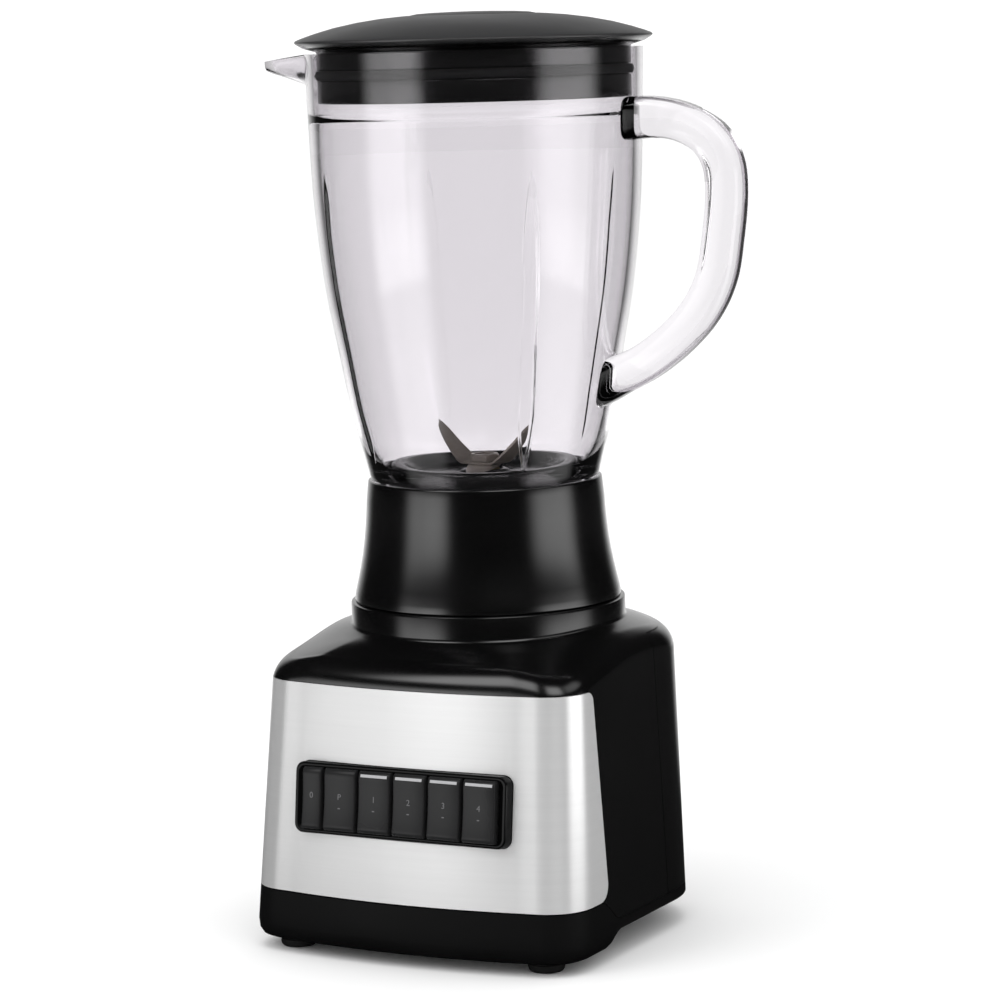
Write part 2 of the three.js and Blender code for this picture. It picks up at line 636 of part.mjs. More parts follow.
function addBladeUnit() {
  addPart('blade_shaft', disc(SHAFT_RADIUS, DRIVEN_BOTTOM + 1, BLADE_HUB + 6.2, 12), FINISH.bladeSteel(), jarGroup);
  addPart('lower_blade', bladeBody(BLADE_HUB, 27, -1.2, 1.5).rotate([0, 0, 95]),
    FINISH.bladeSteel(), jarGroup);
  addPart('upper_blade', bladeBody(BLADE_HUB + 1.8, 25, 18.6, 1.5).rotate([0, 0, -22]),
    FINISH.bladeSteel(), jarGroup);
  const nutBore = SHAFT_RADIUS / Math.cos(Math.PI / 6) + GAP;
  const nut = turned([[nutBore, BLADE_HUB + 3.6], [7, BLADE_HUB + 3.6], [7, BLADE_HUB + 7.6],
    [nutBore, BLADE_HUB + 7.6]], 6);
  addPart('blade_nut', nut, FINISH.bladeSteel(), jarGroup);
  const driven = raised(starShape(8.4, 12.4), DRIVEN_BOTTOM, COUPLING_TOP + 0.5)
    .add(disc(13, COUPLING_TOP + 0.5, 169.6, 24))
    .subtract(disc(SHAFT_RADIUS + GAP, 0, BIG, 16));
  addPart('driven_coupling', driven, FINISH.nylon());
}

// ---------------------------------------------------------------- glass jar

const GLASS_OUTSIDE = [[50.2, 198.8], [51, 203.2], [54.3, 216.4], [58.3, 234], [62.3, 256], [66.3, 277.5],
  [69, 299], [70.9, 321], [71.7, 340], [72.3, 359.5], [73, GLASS_RIM]];
const GLASS_INSIDE = [[42.6, 199], [43.8, 202], [46.6, 206.5], [50.1, 216.4], [54.2, 234], [58.3, 256],
  [62.3, 277.5], [65, 299], [66.9, 321], [67.7, 340], [67.9, 352.5], [69.3, 355], [69.7, GLASS_RIM + 5]];

// Outside radius of the glass at a height.
function glassRadius(height) {
  const above = GLASS_OUTSIDE.findIndex(([, z]) => z >= height);
  const [r1, z1] = GLASS_OUTSIDE[above];
  const [r0, z0] = GLASS_OUTSIDE[above - 1];
  return r0 + (r1 - r0) * (height - z0) / (z1 - z0);
}

// One of the four grooves pressed into the outside of the glass, running down the wall.
function flute(angle) {
  const toolRadius = 4.6;
  const standOff = 2.7;
  const points = [];
  for (let height = 332; height >= 207; height -= 25) {
    const fade = height > 330 || height < 210 ? 1.2 : 0;
    const r = glassRadius(height) + standOff + fade;
    points.push(new THREE.Vector3(r * Math.cos(angle), r * Math.sin(angle), height));
  }
  return rod(new THREE.CatmullRomCurve3(points), 2 * toolRadius, 2 * toolRadius, 8, 8);
}

// Centre line of the handle in the plane through the drive axis, from upper root to lower root.
const HANDLE_LINE = [[70, 352.8], [84, 353], [96, 350.5], [107, 344], [113, 333.5], [114, 320],
  [112.2, 303], [109, 286], [102, 272], [91, 260], [77, 249.5], [60.5, 241.5]];

function handleRod() {
  const points = HANDLE_LINE.map(([r, z]) => new THREE.Vector3(r, 0, z));
  return rod(new THREE.CatmullRomCurve3(points), HANDLE_WIDTH, HANDLE_RADIAL, 22, 8);
}

// The pouring lip: a beak pointing to -X, with a channel that opens into the jar.
function beak(inset, rimRise) {
  const tip = SPOUT_REACH - inset * 1.6;
  const side = [[-60, 366 + inset * 1.5], [-73, 367 + inset * 1.5], [-88, 373.5 + inset],
    [-tip, 378 + inset * 0.7], [-tip, 380.2 + rimRise], [-88, 383.4 + rimRise], [-60, 384 + rimRise]];
  const profile = prismAlongX(side, BIG).rotate([0, 0, -90]);
  const plan = new THREE.Shape();
  const root = 19 - inset * 1.3;
  plan.moveTo(-50, -root);
  plan.lineTo(-50, root);
  plan.lineTo(-69, root);
  plan.quadraticCurveTo(-84, 10 - inset, -tip, 1.6);
  plan.lineTo(-tip, -1.6);
  plan.quadraticCurveTo(-84, -10 + inset, -69, -root);
  return profile.intersect(raised(plan, 300, 420));
}

function addGlassJar() {
  const outside = turned([[0, GLASS_BOTTOM], [NECK_RADIUS, GLASS_BOTTOM], [NECK_RADIUS, 198.8],
    ...GLASS_OUTSIDE, [0, GLASS_RIM]], 32);
  const inside = turned([[0, GLASS_BOTTOM - 5], [42.6, GLASS_BOTTOM - 5], ...GLASS_INSIDE,
    [0, GLASS_RIM + 5]], 32);
  let jar = outside.add(handleRod()).add(beak(0, 0)).subtract(beak(3, 5)).subtract(inside);
  for (const quarter of [0, 1]) {
    for (const sign of [-1, 1]) {
      jar = jar.subtract(flute(-Math.PI / 2 + quarter * Math.PI + sign * FLUTE_ANGLE));
    }
  }
  addPart('glass_jar', jar, FINISH.glass(), jarGroup);
}

// ---------------------------------------------------------------- lid and filler cap

function addLid() {
  const lid = [[LID_RADIUS, 387.2], [LID_RADIUS, 388.6], [70, 391.3], [60, 394], [48, 396.3], [36, 397.7],
    [27.6, 398.3], [27.6, 395.9], [FILLER_RADIUS, 395.9], [FILLER_RADIUS, 380], [26.8, 380], [26.8, 392.6],
    [48, 391.4], [60, 389], [65, 386.5], [65, PLUG_BOTTOM], [PLUG_RADIUS, PLUG_BOTTOM],
    [PLUG_RADIUS, 371.7], [66.3, 371.7], [66.3, 376.3], [PLUG_RADIUS, 376.3], [PLUG_RADIUS, 383.6],
    [73.5, 385.2]];
  addPart('lid', turned(lid, 32), FINISH.lidPlastic(), jarGroup);
  addPart('lid_seal', ring(66.6, 68.9, 372, 376, 32), FINISH.rubber(), jarGroup);
}

function addFillerCap() {
  const skirt = FILLER_RADIUS - GAP;
  const cap = [[0, 394.4], [21.8, 394.4], [21.8, 376], [skirt, 376], [skirt, 396.2], [27.3, 396.2],
    [27.3, 398], [24, 398.8], [14, 399.4], [0, CAP_TOP]];
  addPart('filler_cap', turned(cap, 24), FINISH.lidPlastic(), jarGroup);
}

// ---------------------------------------------------------------- build

addShells();
addFrontPanel();
addTray();
addFeet();
addTrayScrews();
addGrommet();
addBezel();
addSwitchBlock();
addKeys();
addStator();
addFieldCoils();
addMotorFrame();
addBrushes();
addRotor();
addTurretSeal();
addJarBase();
addBladeUnit();
addGlassJar();
addLid();
addFillerCap();

// The origin is the middle of the bottom of the whole assembly's box.
blender.updateMatrixWorld(true);
const middle = new THREE.Box3().setFromObject(blender, true).getCenter(new THREE.Vector3());
blender.position.set(-middle.x, -middle.y, 0);

export default blender;
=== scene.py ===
"""Looks of the countertop blender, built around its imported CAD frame.

Sizes are in millimetres and are turned into metres by MM; places come from the frame.
Base pieces are laid out about the drive axis, with the front towards -Y. Jar pieces share a
frame of their own, turned a few degrees about that axis.
"""

import json
import math

import bmesh
import bpy
from mathutils import Matrix, Vector


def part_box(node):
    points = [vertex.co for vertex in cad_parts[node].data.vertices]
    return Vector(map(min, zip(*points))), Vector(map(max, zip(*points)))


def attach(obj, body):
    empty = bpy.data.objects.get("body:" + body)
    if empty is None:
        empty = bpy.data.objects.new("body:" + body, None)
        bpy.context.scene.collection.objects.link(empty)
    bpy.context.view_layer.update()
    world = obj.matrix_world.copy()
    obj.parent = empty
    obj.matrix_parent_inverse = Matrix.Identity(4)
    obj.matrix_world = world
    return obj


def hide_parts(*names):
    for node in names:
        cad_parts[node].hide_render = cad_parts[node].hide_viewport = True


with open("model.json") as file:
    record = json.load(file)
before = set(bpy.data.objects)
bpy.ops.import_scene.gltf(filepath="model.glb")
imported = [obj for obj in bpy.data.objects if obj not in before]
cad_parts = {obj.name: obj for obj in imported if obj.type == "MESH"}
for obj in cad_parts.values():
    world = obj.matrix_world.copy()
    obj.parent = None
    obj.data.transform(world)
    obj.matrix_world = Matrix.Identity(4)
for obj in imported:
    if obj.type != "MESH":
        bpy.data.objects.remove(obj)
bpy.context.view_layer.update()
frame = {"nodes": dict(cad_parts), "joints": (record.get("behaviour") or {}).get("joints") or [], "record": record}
nodes = frame["nodes"]
joints = {j["name"]: j for j in frame["joints"]}

MM = 0.001
AXIS = Vector((*joints["motor_spin"]["pos_m"][:2], 0.0))
JAR_TURN = math.radians(5)
BASE_PLACE = Matrix.Translation(AXIS)
JAR_PLACE = Matrix.Translation(AXIS) @ Matrix.Rotation(JAR_TURN, 4, "Z")

# Base outline at the height of the panel's top edge, and how it spreads downwards
HALF_WIDTH = 75.2
FRONT = 78.0
FRONT_BOW = 5.2
BACK = 66.0
FRONT_CORNER = 18.0
BACK_CORNER = 46.0
WIDTH_GROWTH = 0.00058
DEPTH_GROWTH = 0.00081
WALL = 2.8
SEAM = 0.35

TRAY_BOTTOM = 5.0
TRAY_SIDE_BOTTOM = 12.5
SEAM_FRONT = 26.7
SEAM_SIDE = 17.0
STEP_START = -54.0
STEP_END = -38.0
PANEL_TOP = 116.4
PANEL_END_TOP = -50.7
PANEL_END_BOTTOM = -47.6
PANEL_THICKNESS = 1.0
COVER_SPLIT = 10.0
COVER_TOP = 131.0
TURRET_TOP = 145.5
TURRET_RADIUS = 60.0
BOSS_TOP = 150.0
BOSS_RADIUS = 42.0

PANEL_TILT = math.atan(0.117)
KEY_ROW_HEIGHT = 69.0
KEY_ROW_DEPTH = -83.6
KEY_NAMES = ("off", "pulse", "speed_1", "speed_2", "speed_3", "speed_4")
BEZEL_WIDTH = 101.6
BEZEL_HEIGHT = 30.4
OFF_KEY_WIDTH = 10.6
KEY_WIDTH = 16.7
KEY_HEIGHT = 26.4
KEY_PROUD = 4.0
KEY_ROW_WIDTH = OFF_KEY_WIDTH + 5 * KEY_WIDTH
CORD_HEIGHT = 34.0
CORD_PLACE = (BASE_PLACE @ Matrix.Translation(Vector((0, BACK, CORD_HEIGHT)) * MM)
              @ Matrix.Rotation(math.pi / 2, 4, "X"))
KEY_PLACE = (Matrix.Translation(AXIS + Vector((0, KEY_ROW_DEPTH, KEY_ROW_HEIGHT)) * MM)
             @ Matrix.Rotation(-PANEL_TILT, 4, "X"))

NECK_RADIUS = 47.6
COLLAR_TOP = 198.5
GLASS_BOTTOM = 182.9
GLASS_RIM = 383.0
FLOOR_TOP = 203.6
DISH_FLOOR = 196.6
BUSH_TOP = 198.5
BLADE_HUB = 200.0
LID_RADIUS = 77.2


# ---------------- mesh helpers

def make_object(name, verts, faces, place=BASE_PLACE, smooth_angle=35):
    """A mesh object from millimetre points, moved to its place, smooth below an angle."""
    mesh = bpy.data.meshes.new(name)
    mesh.from_pydata([Vector(v) * MM for v in verts], [], faces)
    mesh.transform(place)
    obj = bpy.data.objects.new(name, mesh)
    bpy.context.scene.collection.objects.link(obj)
    tidy_normals(obj, smooth_angle)
    return obj


def tidy_normals(obj, smooth_angle=35):
    """Merges doubles, turns the faces outwards and shades smooth below the angle."""
    bm = bmesh.new()
    bm.from_mesh(obj.data)
    bmesh.ops.remove_doubles(bm, verts=bm.verts, dist=1e-6)
    bmesh.ops.recalc_face_normals(bm, faces=bm.faces)
    bm.to_mesh(obj.data)
    bm.free()
    obj.data.shade_smooth()
    obj.data.set_sharp_from_angle(angle=math.radians(smooth_angle))


def bake_modifiers(obj):
    """Replaces the mesh by what its modifiers make of it."""
    graph = bpy.context.evaluated_depsgraph_get()
    mesh = bpy.data.meshes.new_from_object(obj.evaluated_get(graph))
    obj.modifiers.clear()
    old = obj.data
    obj.data = mesh
    bpy.data.meshes.remove(old)
    tidy_normals(obj)


def combine(obj, other, operation):
    """Boolean of two closed meshes; the second one is used up."""
    modifier = obj.modifiers.new("cut", "BOOLEAN")
    modifier.operation = operation
    modifier.solver = "MANIFOLD"
    modifier.object = other
    bpy.context.view_layer.update()
    bake_modifiers(obj)
    bpy.data.objects.remove(other)


def cut(obj, *cutters):
    for cutter in cutters:
        combine(obj, cutter, "DIFFERENCE")


def edge_bevel(obj, width, segments=2, angle=35):
    modifier = obj.modifiers.new("edge", "BEVEL")
    modifier.width = width * MM
    modifier.segments = segments
    modifier.limit_method = "ANGLE"
    modifier.angle_limit = math.radians(angle)
    modifier.harden_normals = True


def soften(points, radius, steps=4):
    """The closed outline with each corner rounded by a short curve."""
    out = []
    count = len(points)
    for i, p in enumerate(points):
        p = Vector(p)
        a = Vector(points[i - 1]) - p
        b = Vector(points[(i + 1) % count]) - p
        bend = a.angle(-b, 0.0) if a.length and b.length else 0.0
        if bend < math.radians(12):
            out.append(tuple(p))
            continue
        reach = min(radius, 0.45 * a.length, 0.45 * b.length)
        start = p + a.normalized() * reach
        end = p + b.normalized() * reach
        for k in range(steps + 1):
            t = k / steps
            out.append(tuple(start * (1 - t) ** 2 + p * 2 * t * (1 - t) + end * t ** 2))
    return out


def loft(rings):
    """Faces over rings of equal count, capped at both ends."""
    count = len(rings[0])
    verts = [v for ring in rings for v in ring]
    faces = []
    for k in range(len(rings) - 1):
        for i in range(count):
            j = (i + 1) % count
            faces.append((k * count + i, k * count + j, (k + 1) * count + j, (k + 1) * count + i))
    faces.append(tuple(range(count - 1, -1, -1)))
    last = (len(rings) - 1) * count
    faces.append(tuple(last + i for i in range(count)))
    return verts, faces


def turned(name, profile, place=BASE_PLACE, segments=128, smooth_angle=35):
    """A solid of revolution; the profile closes on itself or starts and ends on the axis."""
    on_axis = profile[0][0] < 1e-6
    verts = []
    faces = []
    for i in range(segments):
        angle = 2 * math.pi * i / segments
        verts += [(r * math.cos(angle), r * math.sin(angle), z) for r, z in profile]
    count = len(profile)
    spans = count - 1 if on_axis else count
    for i in range(segments):
        a = i * count
        b = ((i + 1) % segments) * count
        for k in range(spans):
            n = (k + 1) % count
            faces.append((a + k, b + k, b + n, a + n))
    return make_object(name, verts, faces, place, smooth_angle)


def prism_along_x(name, polygon):
    """A polygon of (y, z) points made into a bar along X that is longer than the base is wide."""
    return make_object(name, *loft([[(x, y, z) for y, z in polygon] for x in (-200.0, 200.0)]))


def block(name, x0, x1, y0, y1, z0, z1):
    corners = [(x0, y0), (x1, y0), (x1, y1), (x0, y1)]
    return make_object(name, *loft([[(x, y, z) for x, y in corners] for z in (z0, z1)]))


def arc(cx, cy, radius, start, end, steps):
    """Points along an arc given in degrees."""
    angles = [math.radians(start + (end - start) * k / steps) for k in range(steps + 1)]
    return [(cx + radius * math.cos(a), cy + radius * math.sin(a)) for a in angles]


def rounded_rect(width, height, radius, steps=6):
    x, y = width / 2 - radius, height / 2 - radius
    return (arc(x, -y, radius, -90, 0, steps) + arc(x, y, radius, 0, 90, steps)
            + arc(-x, y, radius, 90, 180, steps) + arc(-x, -y, radius, 180, 270, steps))


def smoothstep(edge0, edge1, x):
    t = min(1.0, max(0.0, (x - edge0) / (edge1 - edge0)))
    return t * t * (3 - 2 * t)


def interpolate(table, x):
    """Smooth reading of a table of (x, y) pairs, x rising."""
    if x <= table[0][0]:
        return table[0][1]
    if x >= table[-1][0]:
        return table[-1][1]
    k = next(i for i in range(len(table) - 1) if table[i + 1][0] >= x)
    x1, y1 = table[k]
    x2, y2 = table[k + 1]
    x0, y0 = table[max(k - 1, 0)]
    x3, y3 = table[min(k + 2, len(table) - 1)]
    m1 = (y2 - y0) / (x2 - x0)
    m2 = (y3 - y1) / (x3 - x1)
    t = (x - x1) / (x2 - x1)
    h = x2 - x1
    return ((2 * t ** 3 - 3 * t ** 2 + 1) * y1 + (t ** 3 - 2 * t ** 2 + t) * h * m1
            + (3 * t ** 2 - 2 * t ** 3) * y2 + (t ** 3 - t ** 2) * h * m2)


# ---------------- materials

class Shader:
    """A node material under construction: a Principled shader and helpers that feed it."""

    def __init__(self, name, **sockets):
        self.material = bpy.data.materials.new(name)
        self.material.use_nodes = True
        self.tree = self.material.node_tree
        self.shader = self.tree.nodes["Principled BSDF"]
        for key, value in sockets.items():
            self.shader.inputs[key.replace("_", " ")].default_value = value
        self.place = self.tree.nodes.new("ShaderNodeTexCoord").outputs["Object"]

    def node(self, kind, **inputs):
        node = self.tree.nodes.new(kind)
        for key, value in inputs.items():
            socket = node.inputs[key.replace("_", " ")]
            if isinstance(value, bpy.types.NodeSocket):
                self.tree.links.new(value, socket)
            else:
                socket.default_value = value
        return node

    def noise(self, scale, stretch=(1, 1, 1), detail=4.0, roughness=0.55):
        spread = self.node("ShaderNodeMapping", Vector=self.place, Scale=stretch)
        return self.node("ShaderNodeTexNoise", Vector=spread.outputs[0], Scale=scale,
                         Detail=detail, Roughness=roughness).outputs["Fac"]

    def ramp(self, value, low, high, out_low, out_high):
        node = self.node("ShaderNodeMapRange", Value=value)
        for socket, number in zip(node.inputs[1:5], (low, high, out_low, out_high)):
            socket.default_value = number
        return node.outputs[0]

    def mix(self, factor, first, second):
        node = self.tree.nodes.new("ShaderNodeMix")
        node.data_type = "RGBA"
        for index, value in ((0, factor), (6, first), (7, second)):
            if isinstance(value, bpy.types.NodeSocket):
                self.tree.links.new(value, node.inputs[index])
            else:
                node.inputs[index].default_value = (*value, 1.0)
        return node.outputs[2]

    def add(self, first, second):
        node = self.node("ShaderNodeMath", Value=first)
        self.tree.links.new(second, node.inputs[1])
        return node.outputs[0]

    def link(self, value, key):
        self.tree.links.new(value, self.shader.inputs[key])
        return self

    def bump(self, height, strength, distance):
        node = self.node("ShaderNodeBump", Height=height, Strength=strength, Distance=distance)
        return self.link(node.outputs[0], "Normal")

    def tangent_along_x(self, anisotropy):
        """Stretches reflections up and down, across strokes that run level round the body."""
        tangent = self.tree.nodes.new("ShaderNodeTangent")
        tangent.direction_type = "RADIAL"
        tangent.axis = "Z"
        self.shader.inputs["Anisotropic"].default_value = anisotropy
        self.shader.inputs["Anisotropic Rotation"].default_value = 0.25
        return self.link(tangent.outputs[0], "Tangent")


def plastic(name, colour, rough_low, rough_high, gloss=0.5, grain=1200.0, grain_depth=0.000008,
            frost_from=None, frost=None):
    """Moulded plastic: fine spark-eroded grain and slightly cloudy gloss and colour.

    Above a height it may be frosted, which makes it paler and rougher.
    """
    s = Shader(name, Specular_IOR_Level=gloss, IOR=1.5)
    cloudy = s.noise(22.0, detail=3.0)
    fine = s.noise(grain, detail=1.0)
    pale = tuple(min(1.0, c * 1.3 + 0.0006) for c in colour)
    tone = s.mix(s.ramp(cloudy, 0.3, 0.7, 0.0, 0.5), colour, pale)
    rough = s.ramp(cloudy, 0.3, 0.7, rough_low, rough_high)
    if frost_from is not None:
        height = s.node("ShaderNodeSeparateXYZ", Vector=s.place).outputs[2]
        frosted = s.ramp(height, frost_from * MM, (frost_from + 3.0) * MM, 0.0, 1.0)
        tone = s.mix(frosted, tone, frost)
        rough = s.add(rough, s.ramp(frosted, 0.0, 1.0, 0.0, 0.25))
    s.link(tone, "Base Color")
    s.link(rough, "Roughness")
    return s.bump(fine, 0.25, grain_depth).material


def metal(name, colour, rough_low, rough_high, brush=(1, 1, 1), scale=300.0, depth=0.00001, bright=1.0):
    """Metal with a brushed or ground surface, the strokes running along the least stretched axis."""
    s = Shader(name, Metallic=bright)
    strokes = s.noise(scale, stretch=brush, detail=3.0, roughness=0.7)
    cloudy = s.noise(14.0, detail=2.0)
    dark = tuple(c * 0.86 for c in colour)
    s.link(s.mix(s.ramp(strokes, 0.35, 0.65, 0.0, 1.0), dark, colour), "Base Color")
    s.link(s.ramp(s.add(strokes, cloudy), 0.7, 1.3, rough_low, rough_high), "Roughness")
    return s.bump(strokes, 0.5, depth).material


def brushed_panel_with_painted_light(name, colour):
    """Sheet steel brushed level: hair-fine strokes, a few longer streaks and a slight cloudiness. Its colour
    brightens by a third towards the right-hand corner: a painted reflection of a softbox.
    """
    s = Shader(name, Metallic=0.55)
    hairs = s.noise(45.0, stretch=(1, 1, 150), detail=3.0, roughness=0.7)
    streaks = s.noise(9.0, stretch=(1, 1, 70), detail=2.0)
    cloudy = s.noise(11.0, detail=2.0)
    # Painted reflection: towards the right the colour is raised by a third, standing in for the bright softbox
    # reflection on that corner.
    across = s.node("ShaderNodeSeparateXYZ", Vector=s.place).outputs[0]
    colour, dark = (s.mix(s.ramp(across, -0.02, 0.05, 0.0, 1.0), tuple(c * tone for c in colour),
                          tuple(c * tone * 1.34 for c in colour)) for tone in (1.0, 0.93))
    mixed = s.mix(s.ramp(streaks, 0.35, 0.7, 0.0, 0.35), colour, dark)
    s.link(s.mix(s.ramp(hairs, 0.3, 0.7, 0.35, 0.0), mixed, dark), "Base Color")
    s.link(s.ramp(cloudy, 0.3, 0.7, 0.27, 0.33), "Roughness")
    s.tangent_along_x(0.75)
    return s.bump(hairs, 0.2, 0.000006).material


def rubber(name, colour):
    s = Shader(name, Specular_IOR_Level=0.35)
    dusty = s.noise(60.0, detail=6.0)
    s.link(s.mix(s.ramp(dusty, 0.35, 0.75, 0.0, 0.6), colour, tuple(c * 1.6 + 0.01 for c in colour)),
           "Base Color")
    s.link(s.ramp(dusty, 0.3, 0.7, 0.62, 0.85), "Roughness")
    return s.bump(s.noise(1400.0, detail=2.0), 0.4, 0.00003).material


def let_light_through(s):
    """Glass that casts clear shadows, so what stands behind and inside it stays lit."""
    path = s.tree.nodes.new("ShaderNodeLightPath")
    clear = s.node("ShaderNodeBsdfTransparent", Color=(0.93, 0.94, 0.94, 1.0))
    either = s.tree.nodes.new("ShaderNodeMixShader")
    s.tree.links.new(path.outputs["Is Shadow Ray"], either.inputs[0])
    s.tree.links.new(s.shader.outputs[0], either.inputs[1])
    s.tree.links.new(clear.outputs[0], either.inputs[2])
    s.tree.links.new(either.outputs[0], s.tree.nodes["Material Output"].inputs["Surface"])


def glass(name):
    """Clear pressed glass: faint tint, slow waviness from the mould and a smear or two."""
    s = Shader(name, Transmission_Weight=1.0, IOR=1.49, Base_Color=(0.89, 0.87, 0.895, 1.0))
    smear = s.noise(9.0, stretch=(1, 1, 0.35), detail=3.0)
    s.link(s.ramp(smear, 0.58, 0.8, 0.0, 0.035), "Roughness")
    s.bump(s.noise(32.0, stretch=(1, 1, 0.5), detail=0.0), 0.3, 0.00022)
    let_light_through(s)
    return s.material


def print_ink(name, colour):
    s = Shader(name)
    patchy = s.noise(800.0, detail=3.0)
    s.link(s.mix(s.ramp(patchy, 0.3, 0.7, 0.0, 0.35), colour, tuple(c * 0.8 for c in colour)), "Base Color")
    s.link(s.ramp(patchy, 0.3, 0.7, 0.4, 0.6), "Roughness")
    return s.material


MATERIALS = {
    "black_plastic": plastic("black_plastic", (0.0009, 0.0009, 0.001), 0.17, 0.22, gloss=1.0),
    "lid_plastic": plastic("lid_plastic", (0.0012, 0.0012, 0.0013), 0.17, 0.24, gloss=0.85, grain=900.0,
                           frost_from=386.0, frost=(0.034, 0.034, 0.035)),
    "key_plastic": plastic("key_plastic", (0.014, 0.014, 0.0145), 0.24, 0.32, gloss=0.25),
    "steel_panel": brushed_panel_with_painted_light("steel_panel", (0.69, 0.69, 0.69)),
    # Blade steel is a darkened dull taupe and only half metallic: painted shade, so the blades stay dim inside the
    # jar.
    "blade_steel": metal("blade_steel", (0.40, 0.355, 0.32), 0.28, 0.36, brush=(1, 1, 6), scale=260.0,
                         depth=0.000002, bright=0.45),
    "machine_steel": metal("machine_steel", (0.46, 0.47, 0.48), 0.22, 0.38, brush=(1, 1, 8), scale=200.0),
    "laminations": metal("laminations", (0.20, 0.205, 0.21), 0.4, 0.6, brush=(1, 1, 1500), scale=1.0,
                         depth=0.0001),
    "copper": metal("copper", (0.66, 0.30, 0.13), 0.25, 0.42, brush=(1, 1, 900), scale=1.0, depth=0.0001),
    "brass": metal("brass", (0.70, 0.52, 0.22), 0.25, 0.4, brush=(1, 1, 6), scale=200.0),
    "carbon": plastic("carbon", (0.02, 0.02, 0.02), 0.6, 0.8),
    "rubber": rubber("rubber", (0.008, 0.008, 0.008)),
    "clear_silicone": plastic("clear_silicone", (0.62, 0.62, 0.60), 0.35, 0.5),
    "nylon": plastic("nylon", (0.70, 0.67, 0.60), 0.4, 0.55),
    "jar_glass": glass("jar_glass"),
}
BEZEL_PLASTIC = plastic("bezel_plastic", (0.0014, 0.0014, 0.0015), 0.12, 0.18, gloss=0.2)
BASE_TRAY_PLASTIC = plastic("tray_plastic", (0.0022, 0.0022, 0.0024), 0.46, 0.58, gloss=0.2)
MARK_INK = print_ink("mark_ink", (0.13, 0.13, 0.135))
# Pale ink for the painted highlight strip along the top edge of the speed keys.
PAINTED_HIGHLIGHT_INK = print_ink("painted_highlight_ink", (0.4, 0.4, 0.41))


def dress(obj, slot, body, *replaced, material=None):
    """Gives a finished piece its material, its body and the CAD nodes it stands for."""
    obj.data.materials.clear()
    obj.data.materials.append(material or MATERIALS[slot])
    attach(obj, body)
    if replaced:
        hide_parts(*replaced)
    return obj


def dress_cad_nodes():
    """Every CAD node, shown or not, wears its slot's material."""
    slot_of = {s["node"]: s["material_slot"] for s in frame["record"]["subparts"]}
    for name, obj in nodes.items():
        obj.data.materials.clear()
        obj.data.materials.append(MATERIALS[slot_of[name]])


# ---------------- base shells

def outline(inset):
    """The base's plan outline pulled in by an inset: bowed front, straight sides, round back."""
    half = HALF_WIDTH - inset
    corner = FRONT_CORNER - inset
    back_corner = BACK_CORNER - inset
    corner_y = -(FRONT - FRONT_BOW) + FRONT_CORNER
    bow_half = HALF_WIDTH - FRONT_CORNER
    front_y = corner_y - corner
    points = []
    steps = 28
    for k in range(1, steps):
        t = k / steps
        x = bow_half * (2 * t - 1)
        points.append((x, front_y - FRONT_BOW * 4 * t * (1 - t)))
    tilt = math.degrees(math.atan(2 * FRONT_BOW / bow_half))
    points += arc(bow_half, corner_y, corner, -90 + tilt, 0, 12)
    side_steps = 14
    back_y = BACK - BACK_CORNER
    points += [(half, corner_y + (back_y - corner_y) * k / side_steps) for k in range(1, side_steps)]
    points += arc(half - back_corner, back_y, back_corner, 0, 90, 22)
    points += [(x * (half - back_corner), BACK - inset) for x in (0.5, 0.0, -0.5)]
    points += arc(-half + back_corner, back_y, back_corner, 90, 180, 22)
    points += [(-half, back_y + (corner_y - back_y) * k / side_steps) for k in range(1, side_steps)]
    points += arc(-bow_half, corner_y, corner, 180, 270 - tilt, 12)
    return points


def filled(points, step=2.2):
    """The same outline with points added where neighbours are more than a step apart."""
    out = []
    for (x0, y0), (x1, y1) in zip(points, points[1:] + points[:1]):
        count = max(1, math.ceil(math.hypot(x1 - x0, y1 - y0) / step))
        out += [(x0 + (x1 - x0) * k / count, y0 + (y1 - y0) * k / count) for k in range(count)]
    return out


def tapered(points, z):
    """A ring of the base at a height, spread about the middle of the back."""
    drop = PANEL_TOP - z
    return [(x * (1 + drop * WIDTH_GROWTH), BACK + (y - BACK) * (1 + drop * DEPTH_GROWTH), z)
            for x, y in points]


# Height of the roof by distance from the drive axis: it flares from the turret to the shoulders.
# Along the front its edge keeps one height.
ROOF = ((60.0, 136.0), (60.3, 134.9), (61.0, 134.3), (64.0, 133.2), (70.0, 131.3), (75.0, 129.6),
        (80.0, 127.9), (86.0, 125.9), (95.0, 122.8), (110.0, 117.0))
FRONT_CREST = 127.8


def roof_height(radius, y):
    """The roof stands a little higher round the turret's sides and back than in front of it."""
    lift = 2.0 * smoothstep(-52.0, -8.0, y) * (1 - smoothstep(66.0, 88.0, radius))
    return interpolate(ROOF, radius) + lift


def base_body(name, inset, bottom, top=None, shoulder=9.0):
    """The closed outer form of the base. With no top it ends in the roof and the turret."""
    plan = filled(outline(inset))
    if top is not None:
        return make_object(name, *loft([tapered(plan, z) for z in (bottom, (bottom + top) / 2, top)]))
    turret = TURRET_RADIUS - inset
    columns = [roof_column(x, y, inset, bottom, turret, shoulder) for x, y in plan]
    rings = [[column[k] for column in columns] for k in range(len(columns[0]))]
    return make_object(name, *loft(rings))


